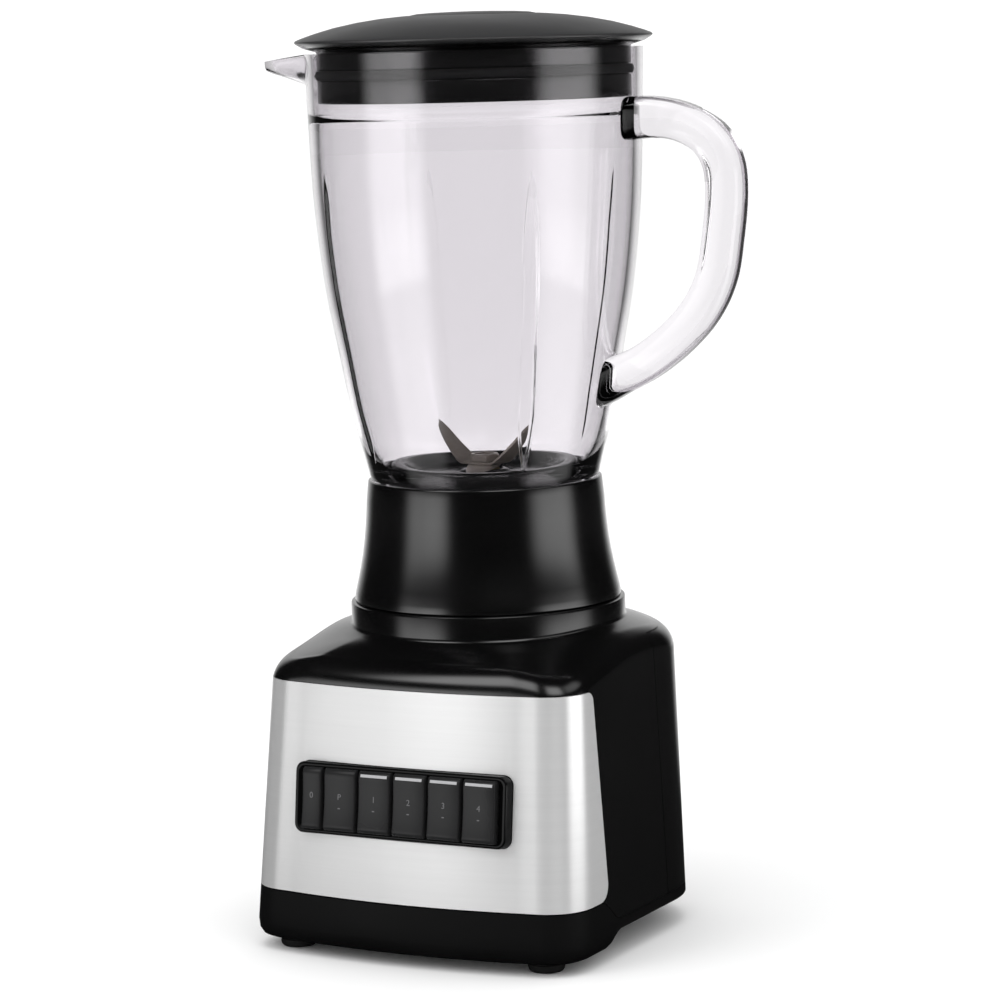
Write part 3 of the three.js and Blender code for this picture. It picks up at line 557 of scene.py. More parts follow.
def roof_column(x, y, inset, bottom, turret, shoulder):
    """One line up the wall, over the rounded shoulder, across the roof and up the turret."""
    radius = math.hypot(x, y)
    ux, uy = x / radius, y / radius
    reach = min(shoulder, (radius - turret) * 0.62)
    crest = roof_height(radius + inset, y) - inset
    inner = roof_height(radius - reach + inset, y) - inset
    dip = smoothstep(-46.0, -64.0, y) * max(0.0, inner - (FRONT_CREST - inset))
    inner -= dip
    crest = inner - 0.5 * (inner + dip - crest)
    wall_top = crest - reach
    points = []
    for k in range(9):
        z = bottom + (wall_top - bottom) * k / 8
        points.append(tapered([(x, y)], z)[0])
    start = Vector(points[-1])
    corner = Vector((*tapered([(x, y)], crest)[0][:2], crest))
    end = Vector((ux * (radius - reach), uy * (radius - reach), inner))
    roundness = 0.56
    for k in range(1, 13):
        t = k / 12
        points.append(tuple(start * (1 - t) ** 3 + start.lerp(corner, roundness) * (3 * t * (1 - t) ** 2)
                            + end.lerp(corner, roundness) * (3 * t * t * (1 - t)) + end * t ** 3))
    for k in range(1, 25):
        t = 1 - (1 - k / 24) ** 1.7
        r = (radius - reach) + (turret - (radius - reach)) * t
        fade = max(0.0, (r - turret) / max(0.1, radius - reach - turret)) ** 1.6
        points.append((ux * r, uy * r, roof_height(r + inset, y * r / radius) - inset - dip * fade))
    for r, z in ((turret, TURRET_TOP - inset - 0.9), (turret - 0.25, TURRET_TOP - inset - 0.3),
                 (turret - 0.9, TURRET_TOP - inset), (turret * 0.5, TURRET_TOP - inset)):
        points.append((ux * r, uy * r, z))
    return points


def step_line(front, side, lift=0.0):
    """The line between tray and housing in side view: low behind, high in front, or the reverse."""
    points = [(-300.0, front + lift), (STEP_START, front + lift)]
    for k in range(1, 10):
        t = k / 10
        points.append((STEP_START + (STEP_END - STEP_START) * t,
                       front + (side - front) * smoothstep(0, 1, t) + lift))
    return points + [(STEP_END, side + lift), (300.0, side + lift)]


def region_below(name, front, side, lift=0.0):
    return prism_along_x(name, step_line(front, side, lift) + [(300.0, -300.0), (-300.0, -300.0)])


def panel_region(name, grow):
    """Side view of the panel with its rounded ends, wide enough to wrap both corners."""
    high, low = PANEL_END_TOP + grow, PANEL_END_BOTTOM + grow
    top, bottom = PANEL_TOP + grow, SEAM_FRONT + 0.3 - grow
    upper, lower = 4.5 + grow, 7.5 + grow
    polygon = ([(-300.0, bottom)] + arc(low - lower, bottom + lower, lower, -90, 0, 10)
               + arc(high - upper, top - upper, upper, 0, 90, 8) + [(-300.0, top)])
    return prism_along_x(name, polygon)


def bezel_hole(name, clearance):
    rect = rounded_rect(BEZEL_WIDTH + 2 * clearance, BEZEL_HEIGHT + 2 * clearance, 4.0 + clearance)
    return make_object(name, *loft([[(x, y, z) for x, z in rect] for y in (-14.0, 20.0)]), KEY_PLACE)


def make_housing():
    shell = base_body("front_housing_shell", 0.0, 10.0)
    inner = base_body("housing_hollow", WALL, 0.0)
    cut(shell, inner)
    recess = base_body("recess", -8.0, 0.0, 160.0)
    cut(recess, base_body("recess_core", PANEL_THICKNESS + 0.3, -20.0, 200.0))
    combine(recess, panel_region("recess_region", 0.35), "INTERSECT")
    cut(shell, recess, bezel_hole("bezel_hole", 0.3),
        region_below("under_housing", SEAM_FRONT, SEAM_SIDE))
    boss = turned("boss", [(14, TURRET_TOP - WALL), (BOSS_RADIUS, TURRET_TOP - WALL),
                           (BOSS_RADIUS, BOSS_TOP - 1), (BOSS_RADIUS - 1, BOSS_TOP), (14, BOSS_TOP)])
    combine(shell, boss, "UNION")
    cut(shell, turned("shaft_hole", [(0, 100), (14, 100), (14, 170), (0, 170)]))
    rear = shell.copy()
    rear.data = shell.data.copy()
    rear.name = "rear_cover_shell"
    bpy.context.scene.collection.objects.link(rear)
    cut(shell, block("rear_room", -200, 200, COVER_SPLIT - SEAM, 200, -50, COVER_TOP + SEAM))
    combine(rear, block("rear_region", -200, 200, COVER_SPLIT, 200, -50, COVER_TOP), "INTERSECT")
    cut(rear, turned("cord_hole", [(0, -20), (6.5, -20), (6.5, 20), (0, 20)], CORD_PLACE))
    for obj, node in ((shell, "front_housing"), (rear, "rear_cover")):
        edge_bevel(obj, 0.35)
        dress(obj, "black_plastic", "base", node)


def make_panel():
    panel = base_body("front_panel_skin", 0.0, 0.0, 160.0)
    cut(panel, base_body("panel_core", PANEL_THICKNESS, -20.0, 200.0))
    combine(panel, panel_region("panel_shape", 0.0), "INTERSECT")
    cut(panel, bezel_hole("panel_hole", 0.3))
    edge_bevel(panel, 0.3)
    dress(panel, "steel_panel", "base", "front_panel")


CORNERS = ("front_left", "front_right", "rear_left", "rear_right")


def place_under(low, high):
    """The place on the ground below the middle of a CAD node's box."""
    centre = (low + high) / 2
    return Matrix.Translation(Vector((centre.x, centre.y, 0)))


def make_tray():
    plan = [outline(inset) for inset in (4.5, 2.2, 0.7, 0.0, 0.0, 0.0)]
    heights = (TRAY_BOTTOM, TRAY_BOTTOM + 1.0, TRAY_BOTTOM + 3.2, TRAY_BOTTOM + 7.0, 18.0, 40.0)
    tray = make_object("base_tray_shell", *loft([tapered(p, z) for p, z in zip(plan, heights)]))
    hollow = base_body("tray_hollow", WALL, 0.0, 60.0)
    cut(hollow, region_below("tray_floor", TRAY_BOTTOM + 3, TRAY_SIDE_BOTTOM + 3))
    cut(tray, hollow, region_below("under_tray", TRAY_BOTTOM - 1, TRAY_SIDE_BOTTOM))
    cut(tray, prism_along_x("above_tray", step_line(SEAM_FRONT, SEAM_SIDE, -SEAM)
                            + [(300.0, 300.0), (-300.0, 300.0)]))
    for slot in range(-2, 3):
        cut(tray, block("slot", slot * 9 - 2, slot * 9 + 2, -16, 16, 0, 25))
    for name in ("rear_left", "rear_right"):
        leg = [(0, TRAY_BOTTOM), (9, TRAY_BOTTOM), (10.5, TRAY_SIDE_BOTTOM + 1), (0, TRAY_SIDE_BOTTOM + 1)]
        combine(tray, turned("leg", leg, place_under(*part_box(f"foot_{name}")), 48), "UNION")
    well = [(0, 0), (4, 0), (4, TRAY_SIDE_BOTTOM + 2), (2.2, TRAY_SIDE_BOTTOM + 2), (2.2, 40), (0, 40)]
    for corner in CORNERS:
        cut(tray, turned("screw_well", well, place_under(*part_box(f"tray_screw_{corner}")), 32))
    edge_bevel(tray, 0.4)
    dress(tray, "black_plastic", "base", "base_tray", material=BASE_TRAY_PLASTIC)


def make_feet():
    for corner in CORNERS:
        low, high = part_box(f"foot_{corner}")
        radius = (high.x - low.x) / 2 / MM
        profile = [(0, 0), (radius - 2.2, 0), (radius - 0.9, 0.35), (radius - 0.25, 1.1), (radius, 2.2),
                   (radius, 3.4), (radius - 0.5, 3.8), (radius - 0.5, high.z / MM), (0, high.z / MM)]
        foot = turned(f"rubber_foot_{corner}", profile, place_under(low, high), 64)
        dress(foot, "rubber", "base", f"foot_{corner}")


def make_grommet():
    """The cord's rubber sleeve, gripping the rear cover between two flanges."""
    hole, neck, flange = 3.4, 6.1, 7.6
    profile = soften([(hole, -3.5), (flange, -3.5), (flange, -0.3), (neck, -0.3), (neck, WALL + 0.3),
                      (flange, WALL + 0.3), (flange, WALL + 3), (hole, WALL + 3)], 0.5, 3)
    dress(turned("cord_sleeve", profile, CORD_PLACE, 64), "rubber", "base", "cord_grommet")


# ---------------- keys

def key_spans():
    left = -KEY_ROW_WIDTH / 2
    spans = []
    for index, name in enumerate(KEY_NAMES):
        width = KEY_WIDTH if index else OFF_KEY_WIDTH
        spans.append((name, left + width / 2, width))
        left += width
    return spans


def make_bezel():
    """A rounded frame with a rolled lip, open in the middle down to the plate behind the keys."""
    levels = [(0.0, 10.0, 4.0), (0.0, -0.9, 4.0), (0.25, -1.35, 3.8), (0.8, -1.5, 3.4), (1.6, -1.5, 2.8),
              (2.1, -1.2, 2.4)]
    outer = [[(x, y, z) for x, z in rounded_rect(BEZEL_WIDTH - 2 * i, BEZEL_HEIGHT - 2 * i, r)]
             for i, y, r in levels]
    opening = rounded_rect(KEY_ROW_WIDTH + 0.7, KEY_HEIGHT + 0.7, 1.2)
    inner = [[(x, y, z) for x, z in opening] for y in (-0.9, 9.5)]
    floor = [[(x * 0.2, 9.5, z * 0.2) for x, z in opening]]
    back = [[(x, 11.8, z) for x, z in rounded_rect(BEZEL_WIDTH, BEZEL_HEIGHT, 4.0)]]
    bezel = make_object("key_bezel_frame", *loft(back + outer + inner + floor), KEY_PLACE)
    dress(bezel, "black_plastic", "base", "key_bezel", material=BEZEL_PLASTIC)


def key_face_depth(z):
    """A key's face dips across its middle, and turns back over a round at its top and bottom."""
    half = KEY_HEIGHT / 2
    dip = 0.8 * (1 - (z / half) ** 2)
    top = max(0.0, (z - (half - 3.4)) / 3.4)
    foot = max(0.0, (-z - (half - 1.6)) / 1.6)
    return -KEY_PROUD + dip + 2.3 * (1 - math.sqrt(max(0.0, 1 - top * top))) + 1.2 * foot ** 2


def make_key(name, centre, width):
    """A key cap: a dished face with a rounded top edge, chamfered flanks and straight sides."""
    half_w = width / 2 - 0.75
    half_h = KEY_HEIGHT / 2
    chamfer = 0.85
    heights = [-half_h + 2 * half_h * (0.5 - 0.5 * math.cos(math.pi * k / 26)) for k in range(27)]
    rings = []
    for z in heights:
        face = key_face_depth(z)
        back = max(4.0, face + 1.5)
        rings.append([(centre - half_w, back, z), (centre - half_w, face + chamfer, z),
                      (centre - half_w + chamfer * 0.25, face + chamfer * 0.3, z),
                      (centre - half_w + chamfer, face, z), (centre, face + 0.05, z),
                      (centre + half_w - chamfer, face, z),
                      (centre + half_w - chamfer * 0.25, face + chamfer * 0.3, z),
                      (centre + half_w, face + chamfer, z), (centre + half_w, back, z)])
    key = make_object(f"key_cap_{name}", *loft(rings), KEY_PLACE, 40)
    edge_bevel(key, 0.25, 2, 40)
    dress(key, "key_plastic", f"key_{name}", f"key_{name}")


def make_painted_key_highlight(name, centre, width):
    """A painted highlight: a pale strip along the rounded top edge of a speed key, in place of the reflection an
    overhead light gives there.
    """
    half_w, half_h = width / 2 - 2.0, KEY_HEIGHT / 2
    heights = [half_h - 2.6 + 1.2 * k / 8 for k in range(9)]
    rings = [[(x, key_face_depth(z) + y, z) for x, y in ((centre - half_w, 0.2), (centre - half_w, -0.04),
                                                         (centre + half_w, -0.04), (centre + half_w, 0.2))]
             for z in heights]
    dress(make_object(f"painted_key_highlight_{name}", *loft(rings), KEY_PLACE, 40), "key_plastic", f"key_{name}",
          material=PAINTED_HIGHLIGHT_INK)


def text_mesh(name, text, size, place, depth=0.05):
    """Generic raised figures as a mesh."""
    curve = bpy.data.curves.new(name, "FONT")
    curve.body = text
    curve.size = size * MM
    curve.extrude = depth * MM
    curve.align_x = "CENTER"
    curve.align_y = "CENTER"
    curve.resolution_u = 3
    source = bpy.data.objects.new(name + "_source", curve)
    bpy.context.scene.collection.objects.link(source)
    bpy.context.view_layer.update()
    mesh = bpy.data.meshes.new_from_object(source.evaluated_get(bpy.context.evaluated_depsgraph_get()))
    bpy.data.objects.remove(source)
    mesh.transform(place)
    obj = bpy.data.objects.new(name, mesh)
    bpy.context.scene.collection.objects.link(obj)
    return obj


KEY_MARKS = {"off": "0", "pulse": "P", "speed_1": "1", "speed_2": "2", "speed_3": "3", "speed_4": "4"}


def make_keys():
    upright = Matrix.Rotation(math.pi / 2, 4, "X")
    depth = key_face_depth(0.0) - 0.02
    for name, centre, width in key_spans():
        make_key(name, centre, width)
        prints = [("key_mark_", KEY_MARKS[name], 3.6, 1.2), ("key_bar_", "-", 4.6, -3.2)]
        for prefix, text, size, height in prints[:1] if name == "off" else prints:
            place = KEY_PLACE @ Matrix.Translation(Vector((centre, depth, height)) * MM) @ upright
            dress(text_mesh(prefix + name, text, size, place), "key_plastic", f"key_{name}",
                  material=MARK_INK)
        # Speed keys carry a painted highlight strip along their top edge.
        if name.startswith("speed"):
            make_painted_key_highlight(name, centre, width)


# ---------------- jar base, blades

def make_collar():
    bore = NECK_RADIUS + 0.3
    outside = [(50.9, COLLAR_TOP), (51.35, 194.5), (51.9, 189.5), (52.25, 184), (52.7, 178.5), (53.35, 172.5),
               (54.2, 166.5), (55.3, 160.5), (56.6, 154.5), (57.8, 149.5), (58.4, TURRET_TOP + 0.3)]
    inside = [(55, TURRET_TOP + 0.3), (53.4, 155), (51, 165), (49.6, 173.6), (38, 173.6), (38, 177),
              (bore, 177), (bore, COLLAR_TOP)]
    profile = soften(outside + inside, 0.9, 4)
    dress(turned("collar_shell", profile, JAR_PLACE, 160, 50), "black_plastic", "jar_base", "jar_collar")


def make_carrier():
    base = 177.3
    profile = soften([(7, 170), (11.5, 170), (11.5, base), (NECK_RADIUS, base), (NECK_RADIUS, base + 3),
                      (42, base + 3), (42, FLOOR_TOP - 2), (40.5, FLOOR_TOP), (36, FLOOR_TOP),
                      (31, DISH_FLOOR), (12, DISH_FLOOR), (10, BUSH_TOP), (7, BUSH_TOP)], 1.5, 4)
    dress(turned("blade_carrier_disc", profile, JAR_PLACE, 128), "black_plastic", "jar_base",
          "blade_carrier")


def bezier(a, b, c, t):
    return tuple(p * (1 - t) ** 2 + q * 2 * t * (1 - t) + r * t ** 2 for p, q, r in zip(a, b, c))


def make_blade(name, node, bottom, reach, rise, turn):
    """A pressed two-armed blade with swept arms, bent near the hub and ground along one edge."""
    bulge, waist, half = 7.5, 4.0, 7.0
    tip = (reach + 0.6, 2.5)
    steps = 18
    sections = []
    for k in range(2 * steps + 1):
        t = abs(k - steps) / steps
        x, full = bezier((0, half), (reach * 0.6, bulge), tip, t)
        slim = bezier((0, -half), (reach * 0.6, -waist), tip, t)[1]
        round_off = math.sqrt(max(0.0, 1 - (max(0.0, t - 0.72) / 0.28) ** 2))
        full, slim = full + 1.7 * t * t * round_off, slim - 1.7 * t * t * round_off
        sections.append((x, slim, full) if k > steps else (-x, -full, -slim))
    rings = []
    thickness = 1.5
    for x, low, high in sections:
        out = max(0.0, abs(x) - 8.5) / (reach - 8.5)
        z = bottom + rise * out ** 1.08
        ground = min(2.4, 0.45 * (high - low)) * smoothstep(0.15, 0.4, out)
        blunt = min(0.15, 0.1 * (high - low) + 0.01)
        left, right = (ground, blunt) if x < 0 else (blunt, ground)
        edge_left, edge_right = (0.35, thickness - 0.2) if x < 0 else (thickness - 0.2, 0.35)
        if out < 0.15:
            edge_left = edge_right = thickness - 0.2
        rings.append([(x, low, z), (x, high, z), (x, high, z + edge_right),
                      (x, high - right - 0.01, z + thickness), (x, low + left + 0.01, z + thickness),
                      (x, low, z + edge_left)])
    place = JAR_PLACE @ Matrix.Rotation(math.radians(turn), 4, "Z")
    blade = make_object(name, *loft(rings), place, 30)
    cut(blade, turned("blade_hole", [(0, 150), (4.15, 150), (4.15, 250), (0, 250)], JAR_PLACE, 48))
    edge_bevel(blade, 0.12, 1, 40)
    dress(blade, "blade_steel", "blade_unit", node)


def make_blade_unit():
    make_blade("blade_low", "lower_blade", BLADE_HUB, 27.0, -1.2, 95)
    make_blade("blade_high", "upper_blade", BLADE_HUB + 1.8, 25.0, 18.6, -22)
    top = BLADE_HUB + 6.2
    shaft = [(0, 159), (3.4, 159), (4, 159.6), (4, top - 0.8), (3.2, top), (0, top)]
    dress(turned("blade_shaft_rod", shaft, JAR_PLACE, 48), "blade_steel", "blade_unit", "blade_shaft")
    low, high = BLADE_HUB + 3.6, BLADE_HUB + 7.6
    nut = turned("blade_nut_hex", [(4.95, low), (7, low), (7, high), (4.95, high)], JAR_PLACE, 6, 20)
    cone = [(0, low - 5), (9, low - 5), (9, low + 1), (5.4, high + 0.3), (0, high + 0.3)]
    combine(nut, turned("nut_chamfer", cone, JAR_PLACE, 64), "INTERSECT")
    cut(nut, turned("nut_bore", [(0, 200), (4.2, 200), (4.2, 220), (0, 220)], JAR_PLACE, 48))
    edge_bevel(nut, 0.15, 2, 25)
    dress(nut, "blade_steel", "blade_unit", "blade_nut")


# ---------------- glass jar

GLASS_OUTSIDE = ((182.9, 47.6), (196.5, 47.6), (198.9, 49.6), (200.5, 50.4), (203.2, 51.0), (216.4, 54.3),
                 (234.0, 58.3), (256.0, 62.3), (277.5, 66.3), (299.0, 69.0), (321.0, 70.9), (340.0, 71.7),
                 (359.5, 72.3), (383.0, 73.0))
GLASS_INSIDE = ((182.9, 42.6), (190.0, 42.6), (199.0, 42.6), (202.0, 43.7), (206.5, 46.6), (216.4, 50.1),
                (234.0, 54.2), (256.0, 58.3), (277.5, 62.3), (299.0, 65.0), (321.0, 66.9), (340.0, 67.7),
                (354.2, 67.9), (355.8, 68.9), (357.6, 69.3), (383.0, 69.7))
# Grooves: angle, depth, width of the sides
FLUTES = ((-131.5, 1.15, 2.2), (-48.5, 1.9, 1.35), (48.5, 0.7, 2.6), (131.5, 0.7, 2.6))
FLUTE_HALF_WIDTH = 3.9
FLUTE_TOP = 332.0
FLUTE_BOTTOM = 207.0
SPOUT_HALF_ANGLE = 15.5
SPOUT_PULL = 27.2
HANDLE_LINE = ((70.0, 352.8), (84.0, 353.0), (96.0, 350.5), (107.0, 344.0), (113.0, 333.5), (114.0, 320.0),
               (112.2, 303.0), (109.0, 286.0), (102.0, 272.0), (91.0, 260.0), (77.0, 249.5), (64.0, 243.2),
               (52.0, 237.6))


def flute_depth(angle, z, radius):
    """How deep the nearest groove is: flat-bottomed, with crisp sides and pointed ends."""
    away, depth, side = min((abs((angle - a + 180) % 360 - 180), d, s) for a, d, s in FLUTES)
    across = math.radians(away) * radius
    fade = min((FLUTE_TOP - z) / 26.0, (z - FLUTE_BOTTOM) / 22.0, 1.0)
    if fade <= 0:
        return 0.0
    half = FLUTE_HALF_WIDTH * math.sqrt(fade)
    return depth * (1 - smoothstep(half - side, half, across)) * min(1.0, fade * 3)


def spout_pull(angle, z, inset):
    """How far the rim is drawn out towards -X to make the pouring lip."""
    away = abs(angle % 360 - 180)
    half = SPOUT_HALF_ANGLE - inset
    if away >= half:
        return 0.0
    beak = (1 - away / half) ** 1.34
    rise = smoothstep(-0.25, 1.0, (z - 366.0 - inset) / 13.5) - smoothstep(-0.25, 1.0, 0.0)
    rise = max(0.0, rise) / (1 - smoothstep(-0.25, 1.0, 0.0))
    return (SPOUT_PULL - inset * 0.9) * beak * rise


def glass_angles():
    """Angles round the jar, closer together at the grooves and the lip."""
    angles = set(round(k * 1.8, 3) for k in range(200))
    for centre, _, _ in FLUTES:
        angles |= {round((centre + k * 0.3) % 360, 3) for k in range(-14, 15)}
    angles |= {round(180 + k * 0.5, 3) for k in range(-34, 35)}
    return sorted(angles)


def wall_radius(table, z):
    """The wall's radius, its profile smoothed over the plain stretch."""
    spread = 3.5 * smoothstep(212.0, 222.0, z) * (1 - smoothstep(336.0, 346.0, z))
    return sum(interpolate(table, z + spread * k) for k in range(-2, 3)) / 5


def glass_surface(name, table, heights, inset, flutes, lid_drop):
    """A closed revolved body of the glass, with grooves and lip worked into its wall."""
    rings = []
    angles = glass_angles()
    for z in heights:
        ring = []
        for angle in angles:
            r = wall_radius(table, min(z, GLASS_RIM))
            if flutes:
                r -= flute_depth(angle, z, r)
            pull = spout_pull(angle, min(z, GLASS_RIM), inset)
            drop = lid_drop * (pull / SPOUT_PULL) * smoothstep(370.0, GLASS_RIM, z)
            a = math.radians(angle)
            r += pull
            ring.append((r * math.cos(a), r * math.sin(a), z - drop))
        rings.append(ring)
    return make_object(name, *loft(rings), JAR_PLACE)


def frange(low, high, step):
    count = max(1, round((high - low) / step))
    return [low + (high - low) * k / count for k in range(count + 1)]


def catmull(points, steps):
    """Smooth points through a line of control points."""
    out = []
    pts = [Vector(p) for p in points]
    pts = [pts[0] * 2 - pts[1]] + pts + [pts[-1] * 2 - pts[-2]]
    for i in range(1, len(pts) - 2):
        p0, p1, p2, p3 = pts[i - 1:i + 3]
        for k in range(steps):
            t = k / steps
            out.append(0.5 * (2 * p1 + (p2 - p0) * t + (2 * p0 - 5 * p1 + 4 * p2 - p3) * t * t
                              + (3 * p1 - p0 - 3 * p2 + p3) * t ** 3))
    return out + [pts[-2]]


def handle_body():
    """The solid glass handle, its section a soft rectangle that flares where it joins the wall."""
    half_thick, half_wide = 8.0, 10.0
    line = catmull(HANDLE_LINE, 6)
    rings = []
    last = len(line) - 1
    for i, p in enumerate(line):
        ahead = (line[min(i + 1, last)] - line[max(i - 1, 0)]).normalized()
        side = Vector((-ahead.y, ahead.x))
        flare = 1 + 0.16 * (math.exp(-((i / 8.0) ** 2)) + math.exp(-(((last - i) / 8.0) ** 2)))
        ring = []
        for k in range(40):
            a = 2 * math.pi * k / 40
            c, s = math.cos(a), math.sin(a)
            u = half_thick * flare * math.copysign(abs(c) ** 0.5, c)
            v = half_wide * flare * math.copysign(abs(s) ** 0.5, s)
            q = p + side * u
            ring.append((q.x, v, q.y))
        rings.append(ring)
    return make_object("handle_body", *loft(rings), JAR_PLACE)


def make_glass():
    rim = [GLASS_RIM - 2.0, GLASS_RIM - 1.0, GLASS_RIM - 0.3, GLASS_RIM]
    heights = [GLASS_BOTTOM, 190, 196.5, 198, 198.9, 199.7, 200.5, 202] + frange(204, 380, 2.2) + rim
    jar = glass_surface("jar_glass_body", GLASS_OUTSIDE, heights, 0.0, True, 3.0)
    combine(jar, handle_body(), "UNION")
    inner_heights = ([GLASS_BOTTOM - 5, 190, 196] + frange(198, 210, 1.0) + frange(212, 350, 4.0)
                     + frange(352, 359, 0.5) + frange(360, 380, 2.0)
                     + [GLASS_RIM - 1, GLASS_RIM, GLASS_RIM + 6])
    cut(jar, glass_surface("jar_inside", GLASS_INSIDE, inner_heights, 2.6, False, 3.0))
    edge_bevel(jar, 1.1, 3, 50)
    dress(jar, "jar_glass", "glass", "glass_jar")


# ---------------- lid

def make_lid():
    top = [(LID_RADIUS, 387.9), (76.6, 388.7), (73.5, 389.9), (68, 391.7), (60, 393.9), (50, 395.9),
           (40, 397.3), (32, 398.0), (27.7, 398.3)]
    hole = [(27.7, 395.9), (24.3, 395.9), (24.3, 380), (26.8, 380), (26.8, 392.6)]
    under = [(48, 391.4), (60, 389), (65, 386.5), (65, 362), (67.6, 362), (67.6, 371.7), (66.3, 371.7),
             (66.3, 376.3), (67.6, 376.3), (67.6, 383.7), (73.5, 385.4), (76.4, 387.2)]
    profile = soften(top + hole + under, 0.7, 3)
    dress(turned("lid_shell", profile, JAR_PLACE, 160, 40), "lid_plastic", "lid", "lid")
    seal = soften([(66.6, 372), (68.2, 372), (68.9, 374), (68.2, 376), (66.6, 376)], 0.6, 3)
    dress(turned("lid_seal_ring", seal, JAR_PLACE, 128), "rubber", "lid", "lid_seal")


def make_filler_cap():
    profile = [(0, 394.4), (21.0, 394.4), (21.8, 393.6), (21.8, 376.6), (22.4, 376), (23.6, 376.2),
               (24, 376.9), (24, 396.2), (26.9, 396.2), (27.3, 396.6), (27.3, 397.8), (26.9, 398.35),
               (24, 398.9), (18, 399.25), (9, 399.5), (0, 399.6)]
    dress(turned("filler_cap_body", profile, JAR_PLACE, 128, 40), "lid_plastic", "filler_cap", "filler_cap")


# ---------------- stage

class StudioNodes:
    """Math nodes for the surroundings, which look different to reflections and to refractions."""

    def __init__(self, tree):
        self.tree = tree
        path = tree.nodes.new("ShaderNodeLightPath")
        self.refracted = path.outputs["Is Transmission Ray"]
        direct = self.math("MULTIPLY", path.outputs["Is Glossy Ray"],
                           self.math("SUBTRACT", 1.0, self.refracted))
        self.inside = self.math("MULTIPLY", self.refracted,
                                self.math("GREATER_THAN", path.outputs["Glossy Depth"], 0.5))
        self.reflected = self.math("MAXIMUM", direct, self.inside)

    def math(self, operation, *values):
        node = self.tree.nodes.new("ShaderNodeMath")
        node.operation = operation
        for socket, value in zip(node.inputs, values):
            if isinstance(value, bpy.types.NodeSocket):
                self.tree.links.new(value, socket)
            else:
                socket.default_value = value
        return node.outputs[0]

    def choose(self, factor, otherwise, chosen):
        return self.math("ADD", self.math("MULTIPLY", factor, chosen),
                         self.math("MULTIPLY", self.math("SUBTRACT", 1.0, factor), otherwise))

    def window(self, value, low, high):
        """0 below low, 1 above high, smooth between; low may be the larger."""
        node = self.tree.nodes.new("ShaderNodeMapRange")
        node.interpolation_type = "SMOOTHSTEP"
        self.tree.links.new(value, node.inputs[0])
        node.inputs[1].default_value, node.inputs[2].default_value = low, high
        return node.outputs[0]

    def split(self, place, centre=(0.0, 0.0)):
        """Level direction from a centre (two sockets of unit length together), height and distance."""
        split = self.tree.nodes.new("ShaderNodeSeparateXYZ")
        self.tree.links.new(place, split.inputs[0])
        x = self.math("SUBTRACT", split.outputs[0], centre[0])
        y = self.math("SUBTRACT", split.outputs[1], centre[1])
        level = self.math("SQRT", self.math("ADD", self.math("MULTIPLY", x, x), self.math("MULTIPLY", y, y)))
        level = self.math("MAXIMUM", level, 0.001)
        return self.math("DIVIDE", x, level), self.math("DIVIDE", y, level), split.outputs[2], level

    def facing(self, place, azimuth):
        a = math.radians(azimuth)
        return self.math("ADD", self.math("MULTIPLY", place[0], math.sin(a)),
                         self.math("MULTIPLY", place[1], -math.cos(a)))

    def cards(self, place, cards, rising=True):
        """Sum of soft-edged upright cards. Azimuth 0 is in front; low and high are sines of elevation."""
        total = 0.008
        for azimuth, half_width, soft, low, high, strength in cards:
            if not rising and low > 0:
                continue
            card = self.window(self.facing(place, azimuth), math.cos(math.radians(half_width + soft)),
                               math.cos(math.radians(max(0.0, half_width - soft))))
            if rising:
                card = self.math("MULTIPLY", card, self.window(place[2], low - 0.08, low + 0.08))
                card = self.math("MULTIPLY", card, self.window(place[2], high + 0.08, high - 0.08))
            total = self.math("ADD", total, self.math("MULTIPLY", card, strength))
        return total


# Cards that reflections see: azimuth, half width, softness, sines of low and high elevation, strength
CARDS = ((-31, 19, 8, -0.3, 0.15, 1.35), (-20, 8, 8, -0.3, 0.15, 0.3), (96, 19, 11, -0.3, 0.15, 1.6),
         (208, 27, 13, -0.3, 0.42, 0.9), (-22, 16, 9, 0.5, 0.84, 2.4), (45, 18, 10, 0.5, 0.84, 2.2),
         (100, 20, 12, 0.5, 0.8, 0.8))


def make_stage():
    floor = turned("floor", [(0.0, 0.0), (3000.0, 0.0), (20000.0, 0.0)], Matrix.Identity(4), 96)
    s = Shader("floor_paper", Roughness=0.75, Specular_IOR_Level=0.0, Emission_Color=(1, 1, 1, 1))
    s.bump(s.noise(300.0, detail=2.0), 0.05, 0.0001)
    studio = StudioNodes(s.tree)
    s.link(s.mix(studio.reflected, (0.93, 0.93, 0.93), (0.02, 0.02, 0.02)), "Base Color")
    place = studio.split(s.place, AXIS[:2])
    glow = studio.math("MULTIPLY", studio.cards(place, CARDS, rising=False),
                       studio.window(place[3], 0.18, 0.55))
    glow = studio.math("MULTIPLY", glow, studio.choose(studio.window(place[3], 0.95, 1.1), 1.0, 1.7))
    glow = studio.math("MULTIPLY", glow, studio.choose(studio.window(place[3], 1.15, 2.2), 1.0, 0.6))
    s.link(studio.math("MULTIPLY", studio.reflected, glow), "Emission Strength")
    floor.data.materials.append(s.material)

    world = bpy.data.worlds.new("studio")
    bpy.context.scene.world = world
    world.use_nodes = True
    studio = StudioNodes(world.node_tree)
    place = studio.split(world.node_tree.nodes.new("ShaderNodeTexCoord").outputs["Generated"])
    seen = studio.cards(place, CARDS)
    through = studio.choose(studio.window(place[2], 0.45, 0.8), 1.0, 0.3)
    sides = studio.math("ABSOLUTE", studio.facing(place, 118))
    through = studio.math("MULTIPLY", through, studio.choose(studio.window(sides, 0.55, 0.9), 1.0, 0.3))
    seen = studio.math("ADD", seen, studio.math("MULTIPLY", studio.inside, 0.06))
    light = studio.choose(studio.reflected, studio.choose(studio.refracted, 1.12, through), seen)
    background = world.node_tree.nodes["Background"]
    background.inputs["Color"].default_value = (1.0, 1.0, 1.0, 1.0)
    world.node_tree.links.new(light, background.inputs["Strength"])


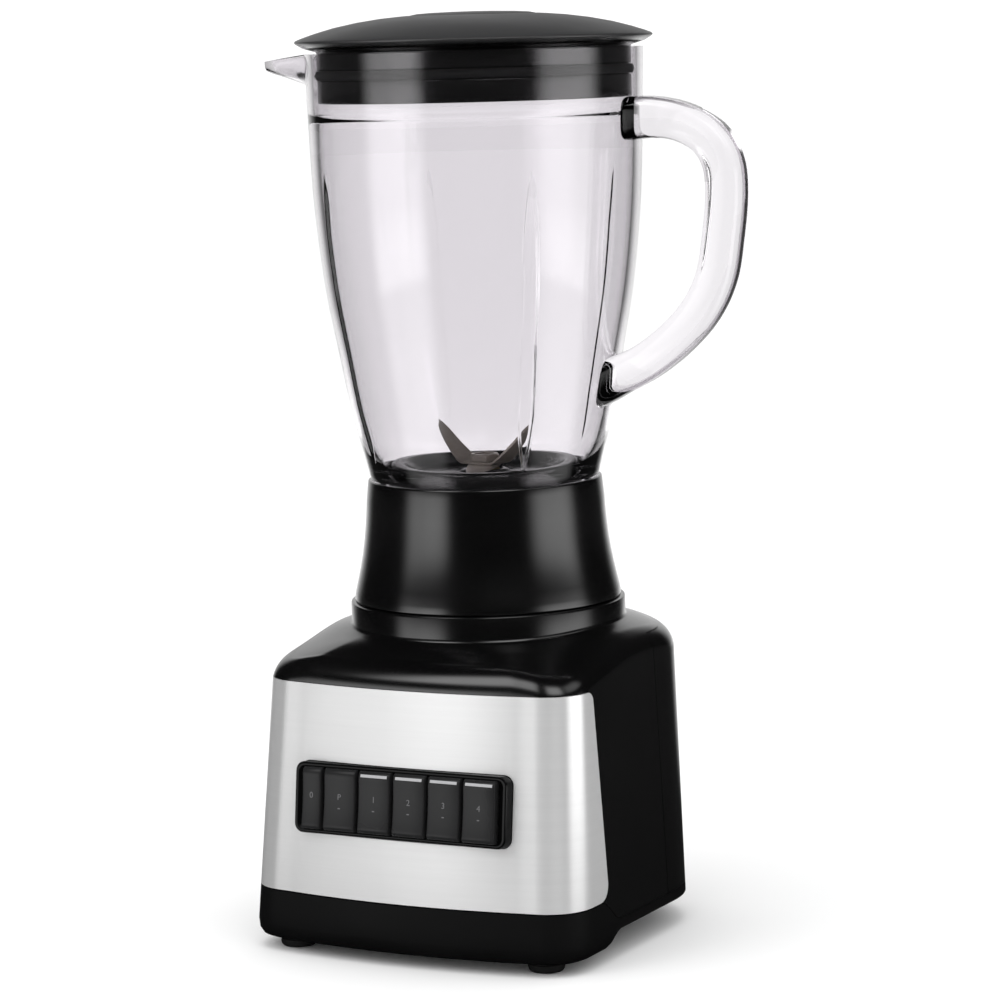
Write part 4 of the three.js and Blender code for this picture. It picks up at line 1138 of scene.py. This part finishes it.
def add_softbox(name, azimuth, elevation, distance, width, height, power):
    """A soft area light aimed at the middle of the object; azimuth 0 is in front of it."""
    a, e = math.radians(azimuth), math.radians(elevation)
    target = AXIS + Vector((0, 0, 0.2))
    offset = Vector((math.sin(a) * math.cos(e), -math.cos(a) * math.cos(e), math.sin(e))) * distance
    data = bpy.data.lights.new(name, "AREA")
    data.shape = "RECTANGLE"
    data.size, data.size_y, data.energy = width, height, power
    light = bpy.data.objects.new(name, data)
    light.location = target + offset
    light.rotation_euler = (-offset).to_track_quat("-Z", "Y").to_euler()
    light.visible_glossy = False
    light.visible_transmission = False
    bpy.context.scene.collection.objects.link(light)


def make_lights():
    add_softbox("key_softbox", -32, 30, 1.8, 0.8, 1.1, 4)
    add_softbox("top_softbox", 10, 80, 1.8, 1.4, 1.4, 7)


def make_camera():
    """The camera of the reference view: to the front right, a little above the lid, slightly rolled."""
    azimuth, aim = math.radians(28.0), math.radians(28.0 - 0.224)
    pitch, roll = math.radians(7.314), math.radians(-1.511)
    distance, height = 1600.8, 393.1
    forward = Vector((-math.sin(aim) * math.cos(pitch), math.cos(aim) * math.cos(pitch), -math.sin(pitch)))
    level = Vector((math.cos(aim), math.sin(aim), 0))
    rise = level.cross(forward)
    right = math.cos(roll) * level + math.sin(roll) * rise
    up = -math.sin(roll) * level + math.cos(roll) * rise
    data = bpy.data.cameras.new("camera")
    data.sensor_width = 36.0
    data.lens = 133.0164
    data.clip_end = 50.0
    camera = bpy.data.objects.new("camera", data)
    place = Matrix((right, up, -forward)).transposed().to_4x4()
    stand = Vector((math.sin(azimuth) * distance, -math.cos(azimuth) * distance, height))
    place.translation = AXIS + stand * MM
    camera.matrix_world = place
    bpy.context.scene.collection.objects.link(camera)
    bpy.context.scene.camera = camera


make_camera()
make_stage()
make_lights()
dress_cad_nodes()
make_housing()
make_panel()
make_tray()
make_feet()
make_grommet()
make_bezel()
make_keys()
make_collar()
make_carrier()
make_blade_unit()
make_glass()
make_lid()
make_filler_cap()

bpy.context.scene.view_settings.view_transform = "Standard"
